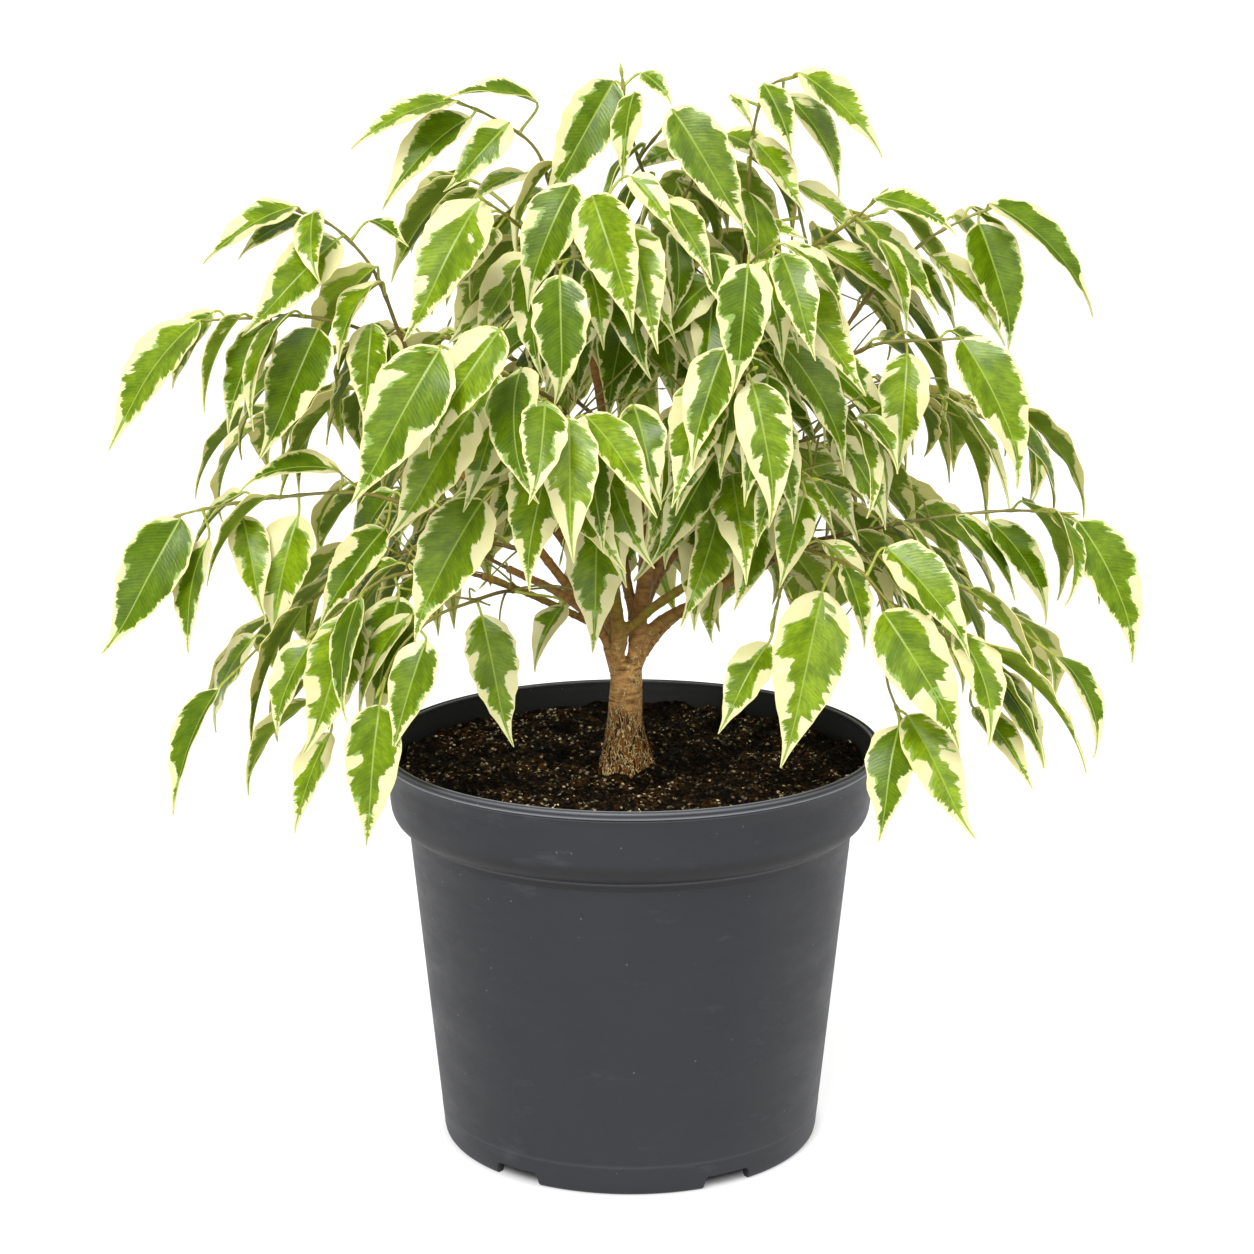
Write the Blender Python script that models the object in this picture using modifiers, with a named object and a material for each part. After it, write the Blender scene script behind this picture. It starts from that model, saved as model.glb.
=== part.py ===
"""Weeping fig with cream-edged leaves, a young bush on one trunk, in its plastic nursery pot.

The frame is in metres with +Z up. The origin is the middle of the pot's base, on the surface that
the pot stands on, and the front of the plant looks along -Y. Lengths in this file are in millimetres
up to the point where a mesh is made.

The plant grows by rule: limbs leave the trunk, each leafy spray leaves a limb, and its leaves hang
from its twigs. The front of the crown follows a real plant as it is seen from a standing eye, so its
routes give how far across and how high a point is seen in the pot's middle plane, and how far behind
that plane it lies. The rest of the leaves take the free places along the twigs.
"""
import math
import random
from collections import namedtuple

import bmesh
import bpy
from mathutils import Matrix, Vector
from mathutils.bvhtree import BVHTree

MM = 0.001
GAP = 0.3

# The eye that the front of the crown was drawn from.
EYE = Vector((-1.3, -1106.6, 462.0))

# The pot: a 19 cm nursery pot, blow-thin polypropylene with a band under its lip.
POT_HEIGHT = 154.0
LIP_RADIUS = 95.0
LIP_HEIGHT = 3.0
LIP_ROLL = 3.3
LIP_EDGE = 0.8
BAND_TOP_RADIUS = 92.2
BAND_SIDE_RADIUS = 91.3
BAND_SIDE_FOOT = 131.5
BAND_ROUND_RADIUS = 89.2
BAND_ROUND_HEIGHT = 2.4
BAND_FOOT = 124.8
WALL_TOP_RADIUS = 84.6
WALL_FOOT_RADIUS = 72.6
WALL = 1.6
FOOT_RADIUS = 70.6
FOOT_WIDTH = 2.6
FLOOR_UNDERSIDE = 3.0
FLOOR_CORNER = 2.0
POT_STEPS = 32
NOTCH_WIDTH = 20.0
NOTCH_HEIGHT = 5.2
NOTCH_INNER_RADIUS = 57.0
NOTCH_ANGLES = (-36.0, 30.0, 103.5, 177.0, 250.5)

# The potting soil, a little higher at the back, and the hole that the trunk stands in.
SOIL_HEIGHT = 143.5
SOIL_RISE = 0.022
SOIL_BUMP = 1.3
SOIL_RINGS = (30.0, 62.0)
STEM_HOLE_RADIUS = 12.2
STEM_HOLE_SIDES = 20
STEM_HOLE_BOTTOM = 84.0

# The trunk as (across, up, behind, radius), from its foot in the soil to the fork.
TRUNK = (
    (-2, 84.4, 0, 8.0), (-2, 128, 0, 9.6), (-2, 143, 0, 10.5), (-2, 152, 0, 8.6), (-2, 164, 0, 6.6),
    (-1.6, 177, 0, 6.1), (-1.6, 186, 0, 5.9),
)
FLARE_LOBES = 5
FLARE_DEPTH = 0.12

# Each limb as its first and last radius and its route of (across, up, behind).
LIMBS = {
    "leader": (3.3, 1.8, ((0.5, 178, 0), (2, 188, 0.5), (2.7, 195, 1), (3.3, 201, 1), (6, 221, 3),
                          (8, 232, 4), (14, 249, 5), (18, 276, 6), (21, 304, 8), (20, 328, 8))),
    "front": (2.8, 1.5, ((-4, 178, -1), (-4.8, 190, -3.5), (-4.7, 199, -5.5), (-6, 210, -10), (-8, 226, -20),
                         (-14, 252, -42), (-20, 274, -60))),
    "left_low": (2.0, 1.4, ((-5, 178, 1), (-7.6, 187, 1), (-9.4, 194, 0), (-14.4, 200.5, -2), (-20, 209, -4),
                            (-28, 220, -6), (-44, 240, -8), (-62, 256, -8), (-74, 280, -8), (-81, 300, -8))),
    "left_side": (1.5, 1.3, ((-13, 199, -1), (-27, 206, -12), (-40, 212, -24), (-56, 218, -34))),
    "right_green": (2.0, 1.5, ((-3.5, 190, -2.5), (-2, 197, -4.5), (3, 200.8, -6.5), (8, 205.5, -9),
                               (21, 214.5, -20), (33, 223, -34), (47, 235, -52))),
    "right_low": (2.7, 1.5, ((2, 183, 1), (5, 192, 2), (8, 197, 3), (14, 202, 3), (27, 209, 3), (48, 224, 3),
                             (70, 232, 2))),
    "inner_left": (2.2, 1.5, ((1.5, 189, 3), (1, 204, 5), (-1.5, 216, 8), (-5, 240, 12), (-9, 270, 14),
                              (-14, 300, 12), (-22, 327, 8))),
    "inner_right": (2.2, 1.5, ((3, 196, 2), (6, 212, 5), (12, 226, 9), (22, 250, 14), (32, 280, 16),
                               (38, 307, 14))),
    "right_arch": (1.6, 1.4, ((20, 244, 13), (34, 266, 10), (52, 286, 4), (73, 302, 0))),
    "back_left": (2.4, 1.5, ((-5, 185, 3), (-8, 200, 10), (-16, 218, 24), (-36, 246, 46), (-58, 268, 62))),
    "back_right": (2.4, 1.5, ((3, 187, 3), (5, 205, 12), (15, 225, 26), (40, 248, 46), (62, 268, 62))),
    "back_mid": (2.4, 1.5, ((2, 187, 3), (4, 205, 14), (6, 224, 26), (4, 258, 50), (-3, 288, 70))),
    "back_low_left": (2.2, 1.5, ((-5, 185, 3), (-12, 199, 20), (-26, 211, 36), (-46, 221, 54))),
    "back_low_right": (2.2, 1.5, ((3, 186, 4), (14, 200, 20), (30, 211, 36), (51, 222, 54))),
}
LIMB_STEP = 26.0

# The sprays that the front view shows. Twigs are routes of (across, up, behind), the first from a limb
# and the others from the first. Leaves are (base across, base up, tip across, tip up, turn), where turn
# is how many degrees the face is turned away from the eye, up and outward.
SPRAYS = {
    "spray_crown_left": {
        "twigs": [[(-22, 327, 8), (-27, 352, 5), (-34, 376, 1), (-50, 388, -4), (-64, 394, -8)]],
        "leaves": [(-34, 394, -68, 395, 62), (-63, 394, -101, 376, 66), (-58, 388, -90, 354, 45),
                   (-44, 386, -67, 360, 10), (-38, 368, -59, 356, 50)],
    },
    "spray_crown_mid": {
        "twigs": [[(20, 328, 8), (14, 350, 5), (4, 370, 1), (-1, 388, -2), (-3, 402, -3)],
                  [(4, 372, 1), (10, 382, -4), (16, 388, -8)],
                  [(14, 350, 5), (22, 364, 12), (28, 376, 18)]],
        "leaves": [(-6, 401, -31, 356, 5), (15, 391, 43, 343, 15), (25, 378, 0, 368, 40),
                   (4, 404, 16, 392, 30), (34, 382, 56, 366, 40)],
    },
    "spray_crown_right": {
        "twigs": [[(38, 307, 14), (42, 338, 9), (43, 364, 5), (45, 386, 1), (50, 399, -2), (61, 403, -5)]],
        "leaves": [(61, 404, 92, 374, 45), (48, 400, 59, 374, 30), (56, 396, 77, 360, 50),
                   (44, 380, 62, 353, 45), (36, 396, 44, 384, 40)],
    },
    "spray_right_upper": {
        "twigs": [[(37, 300, 15), (48, 320, 9), (65, 340, 1), (80, 350, -5), (90, 359, -8)],
                  [(65, 340, 1), (62, 352, 2), (60, 362, 2)]],
        "leaves": [(89, 359, 120, 346, 55), (60, 364, 86, 340, 55), (83, 350, 113, 316, 50),
                   (70, 341, 104, 311, 50), (91, 344, 101, 309, 60), (76, 334, 73, 301, 50),
                   (44, 349, 64, 343, 60)],
    },
    "spray_right_far": {
        "twigs": [[(73, 302, 0), (88, 324, -2), (106, 342, -4), (121, 351, -5), (133, 356, -6)]],
        "leaves": [(131, 357, 170, 315, 60), (127, 350, 142, 304, 15), (110, 338, 137, 304, 50)],
    },
    "spray_right_mid": {
        "twigs": [[(66, 297, 1), (80, 301, -6), (93, 306, -12), (113, 307, -17), (124, 308, -19)]],
        "leaves": [(102, 302, 100, 257, 0), (122, 307, 147, 253, 25), (67, 301, 97, 269, 40)],
    },
    "spray_right_inner": {
        "twigs": [[(35, 267, 10), (46, 265, -8), (58, 268, -28), (72, 272, -44), (88, 280, -54)]],
        "leaves": [(85, 279, 100, 257, 50), (76, 271, 96, 236, 35), (70, 256, 89, 245, 50)],
    },
    "spray_right_low": {
        "twigs": [[(70, 232, 2), (86, 235, 1), (100, 238, 0), (118, 241, -2), (142, 243, -4),
                   (162, 242, -6)]],
        "leaves": [(167, 239, 191, 185, 35), (157, 241, 177, 208, 60), (134, 239, 158, 200, 50),
                   (122, 241, 145, 209, 60)],
    },
    "spray_right_front": {
        "twigs": [[(47, 235, -52), (58, 231, -60), (72, 226, -70), (86, 220, -80), (97, 208, -86)],
                  [(93, 214, -84), (97, 196, -84), (97, 178, -80), (102, 164, -74)],
                  [(97, 208, -86), (112, 200, -80), (124, 190, -74), (133, 181, -70)],
                  [(58, 231, -60), (57, 216, -64), (54, 202, -64)]],
        "leaves": [(72, 212, 59, 143, 0), (96, 229, 130, 187, 30), (95, 204, 127, 151, 10),
                   (80, 222, 89, 190, 35), (52, 192, 35, 156, 20), (102, 160, 97, 113, 15),
                   (105, 164, 129, 113, 20), (135, 181, 157, 143, 50), (130, 167, 152, 134, 50)],
    },
    "spray_left_upper": {
        "twigs": [[(-81, 300, -8), (-86, 312, -8), (-91, 326, -8), (-97, 337, -9), (-109, 349, -11),
                   (-123, 355, -13)]],
        "leaves": [(-122, 356, -156, 334, 50), (-119, 352, -144, 337, 55), (-107, 344, -142, 307, 15),
                   (-95, 351, -82, 341, 50)],
    },
    "spray_left_mid": {
        "twigs": [[(-79, 292, -8), (-88, 304, -14), (-102, 312, -19), (-123, 316, -23), (-142, 315, -26),
                   (-160, 314, -28)]],
        "leaves": [(-159, 314, -191, 264, 50), (-132, 314, -150, 272, 35), (-115, 311, -136, 261, 10),
                   (-95, 313, -98, 275, 15)],
    },
    "spray_left_low": {
        "twigs": [[(-44, 240, -8), (-60, 241, -16), (-77, 243, -21), (-92, 248, -24), (-108, 250, -26),
                   (-140, 247, -28), (-162, 243, -30), (-172, 240, -30)]],
        "leaves": [(-168, 240, -197, 186, 10), (-158, 232, -165, 188, 50), (-145, 241, -140, 202, 15),
                   (-124, 241, -135, 192, 20), (-92, 236, -118, 198, 20), (-108, 258, -146, 252, 60)],
    },
    "spray_left_under": {
        "twigs": [[(-56, 218, -34), (-66, 220, -40), (-80, 220, -47), (-94, 216, -53), (-107, 206, -57),
                   (-118, 197, -58)],
                  [(-104, 209, -56), (-110, 190, -54), (-113, 172, -51), (-114, 164, -50)]],
        "leaves": [(-104, 203, -121, 147, 15), (-87, 210, -98, 156, 10), (-120, 193, -135, 156, 45),
                   (-114, 157, -128, 117, 45)],
    },
    "spray_left_front": {
        "twigs": [[(-40, 212, -24), (-48, 212, -42), (-60, 208, -58), (-74, 202, -70), (-87, 190, -76),
                   (-94, 176, -76)]],
        "leaves": [(-95, 168, -100, 112, 10), (-77, 193, -90, 149, 20), (-56, 203, -47, 151, 10),
                   (-25, 207, -37, 181, 35)],
    },
    "spray_mid_left": {
        "twigs": [[(-20, 274, -60), (-28, 284, -78), (-40, 291, -99), (-52, 297, -118), (-64, 301, -132),
                   (-71, 302, -140)]],
        "leaves": [(-70, 304, -102, 244, 15), (-48, 311, -78, 265, 10), (-59, 281, -88, 230, 15),
                   (-33, 281, -65, 246, 10)],
    },
    "spray_mid": {
        "twigs": [[(-14, 252, -42), (-17, 258, -60), (-20, 267, -84), (-24, 276, -110), (-26, 281, -126)],
                  [(-17, 258, -60), (-30, 256, -78), (-44, 254, -98), (-52, 252, -108)],
                  [(-20, 267, -84), (-10, 274, -98), (-2, 280, -108)]],
        "leaves": [(-29, 270, -41, 213, 5), (-23, 278, -23, 223, 5), (-12, 247, -13, 188, 5),
                   (-55, 247, -83, 194, 15), (1, 283, 9, 245, 15)],
    },
    "spray_upper_left": {
        "twigs": [[(-14, 300, 12), (-20, 316, -10), (-30, 336, -40), (-42, 350, -64), (-53, 358, -80)],
                  [(-30, 336, -40), (-25, 350, -54), (-22, 360, -66)]],
        "leaves": [(-55, 358, -81, 305, 15), (-49, 348, -69, 320, 35), (-41, 322, -68, 306, 25),
                   (-21, 364, -39, 318, 20)],
    },
    "spray_upper_mid": {
        "twigs": [[(21, 304, 8), (12, 318, -16), (-2, 332, -50), (-14, 338, -78), (-25, 336, -98)],
                  [(-2, 332, -50), (-8, 346, -70), (-13, 356, -84)]],
        "leaves": [(-26, 331, -25, 282, 0), (-15, 333, -11, 303, 25), (-14, 360, 3, 310, 0),
                   (0, 367, 16, 346, 30)],
    },
    "spray_upper_right": {
        "twigs": [[(32, 280, 16), (33, 300, -10), (36, 320, -46), (43, 334, -76), (52, 342, -96)],
                  [(36, 320, -46), (26, 336, -58), (16, 350, -66)]],
        "leaves": [(13, 358, 31, 328, 15), (43, 335, 39, 286, 0), (55, 339, 67, 299, 20),
                   (30, 329, 0, 298, 15)],
    },
    "spray_mid_right": {
        "twigs": [[(16, 262, 6), (21, 272, -28), (30, 284, -64), (38, 292, -96), (45, 296, -114)]],
        "leaves": [(35, 304, 22, 259, 20), (39, 291, 34, 255, 30), (45, 291, 55, 237, 10)],
    },
    "spray_low_right": {
        "twigs": [[(33, 223, -34), (37, 238, -46), (44, 250, -58), (56, 255, -68), (66, 255, -74)],
                  [(37, 238, -46), (32, 252, -58), (31, 262, -64)]],
        "leaves": [(51, 242, 40, 204, 10), (65, 249, 57, 213, 10), (31, 263, 10, 221, 10),
                   (33, 216, 30, 192, 40)],
    },
}

# The sprays at the back and the sides, which the front view hides in part: the limb and the share of
# its length where the spray leaves it, its heading in degrees from +X, its reach, and its first climb.
HIDDEN_SPRAYS = {
    "spray_back_left_high": ("back_left", 1.0, 156, 100, 0.75),
    "spray_back_left_mid": ("back_left", 0.84, 128, 90, 0.45),
    "spray_back_left_side": ("back_left", 0.62, 168, 104, 0.35),
    "spray_back_mid_high": ("back_mid", 1.0, 98, 66, 0.80),
    "spray_back_mid_left": ("back_mid", 0.80, 116, 78, 0.30),
    "spray_back_mid_right": ("back_mid", 0.66, 64, 88, 0.30),
    "spray_back_right_high": ("back_right", 1.0, 24, 100, 0.75),
    "spray_back_right_mid": ("back_right", 0.84, 56, 94, 0.45),
    "spray_back_right_side": ("back_right", 0.62, 12, 104, 0.35),
    "spray_back_low_left": ("back_low_left", 1.0, 138, 92, 0.35),
    "spray_back_low_right": ("back_low_right", 1.0, 44, 92, 0.35),
    "spray_back_low_mid": ("back_mid", 0.42, 92, 96, 0.15),
    "spray_crown_back_left": ("inner_left", 0.80, 132, 80, 1.50),
    "spray_crown_back_mid": ("leader", 0.88, 84, 78, 1.40),
    "spray_crown_back_right": ("inner_right", 0.84, 40, 80, 1.50),
    "spray_side_left": ("left_low", 0.42, 192, 118, 0.40),
    "spray_side_left_high": ("inner_left", 0.62, 184, 112, 0.95),
    "spray_side_right": ("right_low", 0.66, -6, 112, 0.50),
    "spray_side_right_high": ("inner_right", 0.58, -12, 106, 0.95),
    "spray_front_high": ("leader", 0.72, 290, 90, 1.00),
}
HIDDEN_DROOP = 0.75

# Twigs and leaves. A leaf's stations are shares of its length with the share of its half width there.
# The leaves that the rule adds stand NODE_SPACING apart along a twig, and their petioles lean along it,
# to its side and up. They keep clear of the pot, and of the view over the soil from the front.
TWIG_RADII = (1.5, 0.8)
SIDE_TWIG_RADIUS = 1.1
TWIG_SLACK = 0.5
FINE_STEP = 3.0
BARE_POINTS = 4
PETIOLE = 9.0
PETIOLE_HALF = 0.55
BLADE_THICKNESS = 1.0
LEAF_LENGTHS = (46.0, 60.0)
LEAF_WIDTH = 0.212
LEAF_ARCH = 0.13
LEAF_FOLD = math.radians(16)
END_LEAF_SIZE = 0.86
NODE_SPACING = 19.0
ROOT_SPACING = 7.0
STALK_ALONG = 0.55
END_STALK_ALONG = 1.2
STALK_SIDE = 0.8
STALK_UP = 0.25
LEAF_STATIONS = ((0.0, 0.11), (0.20, 0.90), (0.56, 0.86), (0.86, 0.13))
TURNS_TO_TRY = (0, 14, -14, 28, -28, 42, -42, 60, -60)
SHIFTS_TO_TRY = (0, -4, 4, -8, 8, -12, 12, -16, 16, -22, 22, -28, 28)
CLEARANCE = 0.45
KEEP_CLEAR_RADIUS = 98.0
KEEP_CLEAR_HEIGHT = 157.0
OPEN_HALF_WIDTH = 97.0
OPEN_HEIGHT = 194.0
LOWEST_TIP = 111.0
HALF_WIDTH = 197.0
HALF_DEPTH = 160.0
HIGHEST_TIP = 408.0
SCRAP_CORNERS = 12
SHARP_EDGE = math.radians(35)
UP = Vector((0, 0, 1))

Leaf = namedtuple("Leaf", "spray root base tip face arch width twist")
Twig = namedtuple("Twig", "spray points radii")


def seen(across, up, behind):
    """The point that the eye sees at (across, up) in the pot's middle plane, this far behind it."""
    reach = 1 - behind / EYE.y
    return Vector((EYE.x + (across - EYE.x) * reach, behind, EYE.z + (up - EYE.z) * reach))


def smooth(points, step):
    """Points about one step apart on the smooth curve through the route's own points."""
    ends = [2 * points[0] - points[1]] + list(points) + [2 * points[-1] - points[-2]]
    curve = [points[0].copy()]
    for i in range(1, len(ends) - 2):
        before, start, end, after = ends[i - 1:i + 3]
        pieces = max(1, round((end - start).length / step))
        for j in range(1, pieces + 1):
            t = j / pieces
            curve.append(0.5 * (2 * start + (end - before) * t
                                + (2 * before - 5 * start + 4 * end - after) * t * t
                                + (3 * start - before - 3 * end + after) * t ** 3))
    return curve


def taper(first, last, count):
    """Radii that run evenly from the first to the last."""
    return [first + (last - first) * i / (count - 1) for i in range(count)]


def tube_faces(points, radii, sides=4):
    """Corners and faces of a plain tube, for clearance tests."""
    corners = []
    faces = []
    for i, point in enumerate(points):
        along = (points[min(i + 1, len(points) - 1)] - points[max(i - 1, 0)]).normalized()
        across = along.cross(UP if abs(along.z) < 0.9 else Vector((1, 0, 0))).normalized()
        over = across.cross(along)
        for k in range(sides):
            angle = math.tau * k / sides
            corners.append(point + radii[i] * (math.cos(angle) * across + math.sin(angle) * over))
        if i:
            first = (i - 1) * sides
            for k in range(sides):
                j = (k + 1) % sides
                faces.append((first + k, first + j, first + sides + j, first + sides + k))
    return corners, faces


def square_off(vector, axis):
    """The part of a vector that is square to an axis, at unit length."""
    return (vector - axis * vector.dot(axis)).normalized()


def blade_frame(leaf, share):
    """Where the midrib is at a share of the blade's length, and its side and upward directions."""
    chord = leaf.tip - leaf.base
    length = chord.length
    lift = leaf.face * leaf.arch * length
    knots = (leaf.base, leaf.base + 0.28 * chord + lift, leaf.base + 0.74 * chord + lift, leaf.tip)
    rest = 1 - share
    point = (rest ** 3 * knots[0] + 3 * rest * rest * share * knots[1]
             + 3 * rest * share * share * knots[2] + share ** 3 * knots[3])
    along = (rest * rest * (knots[1] - knots[0]) + 2 * rest * share * (knots[2] - knots[1])
             + share * share * (knots[3] - knots[2])).normalized()
    side = leaf.face.cross(chord).normalized()
    side = Matrix.Rotation(leaf.twist * share, 3, along) @ side
    return point, side, along.cross(side)


def strip(first, second):
    """Triangles between two rows of two or three corners, with the middle corners joined outward."""
    if len(first) == 2 and len(second) == 2:
        return [(first[0], first[1], second[1]), (first[0], second[1], second[0])]
    if len(first) == 2:
        return [(first[0], second[1], second[0]), (first[0], first[1], second[1]),
                (first[1], second[2], second[1])]
    if len(second) == 2:
        return [(first[1], first[0], second[0]), (first[1], second[0], second[1]),
                (first[1], second[1], first[2])]
    return [(first[1], first[0], second[0]), (first[1], second[0], second[1]),
            (first[1], second[1], second[2]), (first[1], second[2], first[2])]


def leaf_faces(leaf, swell=0.0, petiole=True):
    """Corners and triangles of one leaf, from the petiole's root to the drip tip.

    Each section has two edges and a point under the midrib, and where the blade is wide also one on
    the midrib.
    """
    length = (leaf.tip - leaf.base).length
    stalk = (leaf.base - leaf.root).normalized()
    _, side, over = blade_frame(leaf, 0.0)
    bend = (stalk + side.cross(over)).normalized()
    first_side = square_off(side, bend)
    sections = []
    if petiole:
        side = square_off(first_side, stalk)
        over = stalk.cross(side)
        half = PETIOLE_HALF + swell
        start = leaf.root.lerp(leaf.base, 0.3) if swell else leaf.root
        start = start + over * half * 0.4
        sections.append(([start - side * half, start + side * half], start - over * half * 1.6))
    for share, breadth in LEAF_STATIONS:
        point, side, over = blade_frame(leaf, share)
        if share == 0:
            side, over = first_side, bend.cross(first_side)
        half = leaf.width * length * breadth + swell
        thick = BLADE_THICKNESS / 2 + swell
        out = side * half * math.cos(LEAF_FOLD)
        rise = over * half * math.sin(LEAF_FOLD)
        edges = [point - out + rise, point + out + rise]
        if breadth > 0.5:
            edges.insert(1, point + over * thick)
        sections.append((edges, point - over * thick))
    corners = []
    rows = []
    for edges, keel in sections:
        first = len(corners)
        corners += edges + [keel]
        last = len(corners) - 1
        rows.append((list(range(first, last)), [first, last, last - 1]))
    faces = [tuple(rows[0][1])]
    for (top, under), (next_top, next_under) in zip(rows, rows[1:]):
        faces += strip(top, next_top) + [face[::-1] for face in strip(under, next_under)]
    tip = len(corners)
    corners.append(leaf.tip.copy())
    top, under = rows[-1]
    faces += [(top[0], top[1], tip), (under[1], under[0], tip), (under[2], under[1], tip)]
    return corners, faces


class Thicket:
    """The limbs, twigs and leaves that the next leaf has to stay clear of."""

    def __init__(self):
        self.solids = []

    def add(self, corners, faces, spray, is_twig):
        low = Vector([min(c[i] for c in corners) for i in range(3)])
        high = Vector([max(c[i] for c in corners) for i in range(3)])
        tree = BVHTree.FromPolygons(corners, faces)
        self.solids.append((low, high, tree, spray, is_twig))

    def crosses(self, corners, faces, leave_out=None):
        """Whether a shape cuts anything, apart from the twigs of one spray."""
        low = Vector([min(c[i] for c in corners) for i in range(3)])
        high = Vector([max(c[i] for c in corners) for i in range(3)])
        tree = None
        for other_low, other_high, other, spray, is_twig in self.solids:
            if is_twig and spray == leave_out:
                continue
            if any(low[i] > other_high[i] or high[i] < other_low[i] for i in range(3)):
                continue
            tree = tree or BVHTree.FromPolygons(corners, faces)
            if tree.overlap(other):
                return True
        return False


def out_of_bounds(corners):
    """Whether a leaf would dip into the pot or reach past the crown."""
    for corner in corners:
        reach = math.hypot(corner.x, corner.y)
        if corner.z < LOWEST_TIP or corner.z > HIGHEST_TIP:
            return True
        if abs(corner.x) > HALF_WIDTH or abs(corner.y) > HALF_DEPTH:
            return True
        if reach < KEEP_CLEAR_RADIUS and corner.z < KEEP_CLEAR_HEIGHT:
            return True
    return False


def hides_pot(leaf):
    """Whether a leaf would hang where the front view looks in at the trunk and over the soil."""
    for corner in leaf_faces(leaf)[0]:
        reach = 1 - corner.y / EYE.y
        across = EYE.x + (corner.x - EYE.x) / reach
        up = EYE.z + (corner.z - EYE.z) / reach
        if abs(across) < OPEN_HALF_WIDTH and up < OPEN_HEIGHT:
            return True
    return False


def fits(leaf, thicket):
    """Whether a leaf hangs free of everything placed so far."""
    corners, faces = leaf_faces(leaf, CLEARANCE)
    if out_of_bounds(corners) or thicket.crosses(corners, faces, leaf.spray):
        return False
    corners, faces = leaf_faces(leaf, CLEARANCE, petiole=False)
    return not thicket.crosses(corners, faces)


def lay_twigs(thicket):
    """Every limb and twig, with each twig bent clear of those before it."""
    limbs = {}
    for name, (first, last, route) in LIMBS.items():
        points = smooth([seen(*place) for place in route], FINE_STEP)
        limbs[name] = points
        thicket.add(*tube_faces(points, taper(first, last, len(points))), "trunk", True)
    routes = {name: [[seen(*place) for place in twig] for twig in spray["twigs"]]
              for name, spray in SPRAYS.items()}
    for name, (limb, share, heading, reach, climb) in HIDDEN_SPRAYS.items():
        start = limbs[limb][round(share * (len(limbs[limb]) - 1))]
        out = Vector((math.cos(math.radians(heading)), math.sin(math.radians(heading)), 0))
        bow = (0, 0.2, 0.4, 0.6, 0.8, 1)
        routes[name] = [[start + reach * (out * s + UP * (climb * s - HIDDEN_DROOP * s * s)) for s in bow]]
    twigs = {}
    for name, spray_routes in routes.items():
        twigs[name] = []
        for order, route in enumerate(spray_routes):
            if order:
                route = [min(twigs[name][0].points, key=lambda point: (point - route[0]).length)] + route[1:]
            for shift in SHIFTS_TO_TRY:
                bent = [point + Vector((0, shift, shift / 2)) * math.sin(math.pi * i / (len(route) - 1))
                        for i, point in enumerate(route)]
                points = smooth(bent, FINE_STEP)
                radii = taper(TWIG_RADII[0] if order == 0 else SIDE_TWIG_RADIUS, TWIG_RADII[1], len(points))
                free = min(len(points) - 2, BARE_POINTS)
                corners, faces = tube_faces(points[free:], [r + CLEARANCE for r in radii[free:]])
                if not thicket.crosses(corners, faces, name):
                    break
            twigs[name].append(Twig(name, points, radii))
            thicket.add(*tube_faces(points, radii), name, True)
    return limbs, twigs


def facing(chord, towards, turn):
    """The face of a leaf: towards something, turned up and outward by so many degrees."""
    along = chord.normalized()
    front = square_off(towards, along)
    over = along.cross(front)
    over = over if over.z > 0 else -over
    turn = math.radians(turn)
    return (front * math.cos(turn) + over * math.sin(turn)).normalized()


def hang_seen_leaves(twigs, thicket):
    """The leaves that the front view shows, each on the nearest twig of its spray."""
    draw = random.Random(11)
    leaves = []
    for name, spray in SPRAYS.items():
        for base_across, base_up, tip_across, tip_up, turn in spray["leaves"]:
            width = LEAF_WIDTH * draw.uniform(0.94, 1.08)
            arch = LEAF_ARCH * draw.uniform(0.7, 1.3)
            twist = math.radians(draw.uniform(-14, 14))
            lean = -draw.uniform(6, 16)
            roots = twigs[name][0].points[BARE_POINTS:-1]
            for side_twig in twigs[name][1:]:
                roots = roots + side_twig.points[1:-1]
            root = min(roots, key=lambda point: (seen(base_across, base_up, point.y) - point).length)
            for shift in SHIFTS_TO_TRY:
                base = seen(base_across, base_up, root.y + shift)
                tip = seen(tip_across, tip_up, root.y + shift + lean)
                face = facing(tip - base, EYE - base, turn)
                leaf = Leaf(name, root, base, tip, face, arch, width, twist)
                if fits(leaf, thicket):
                    leaves.append(leaf)
                    thicket.add(*leaf_faces(leaf), name, False)
                    break
    return leaves


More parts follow.
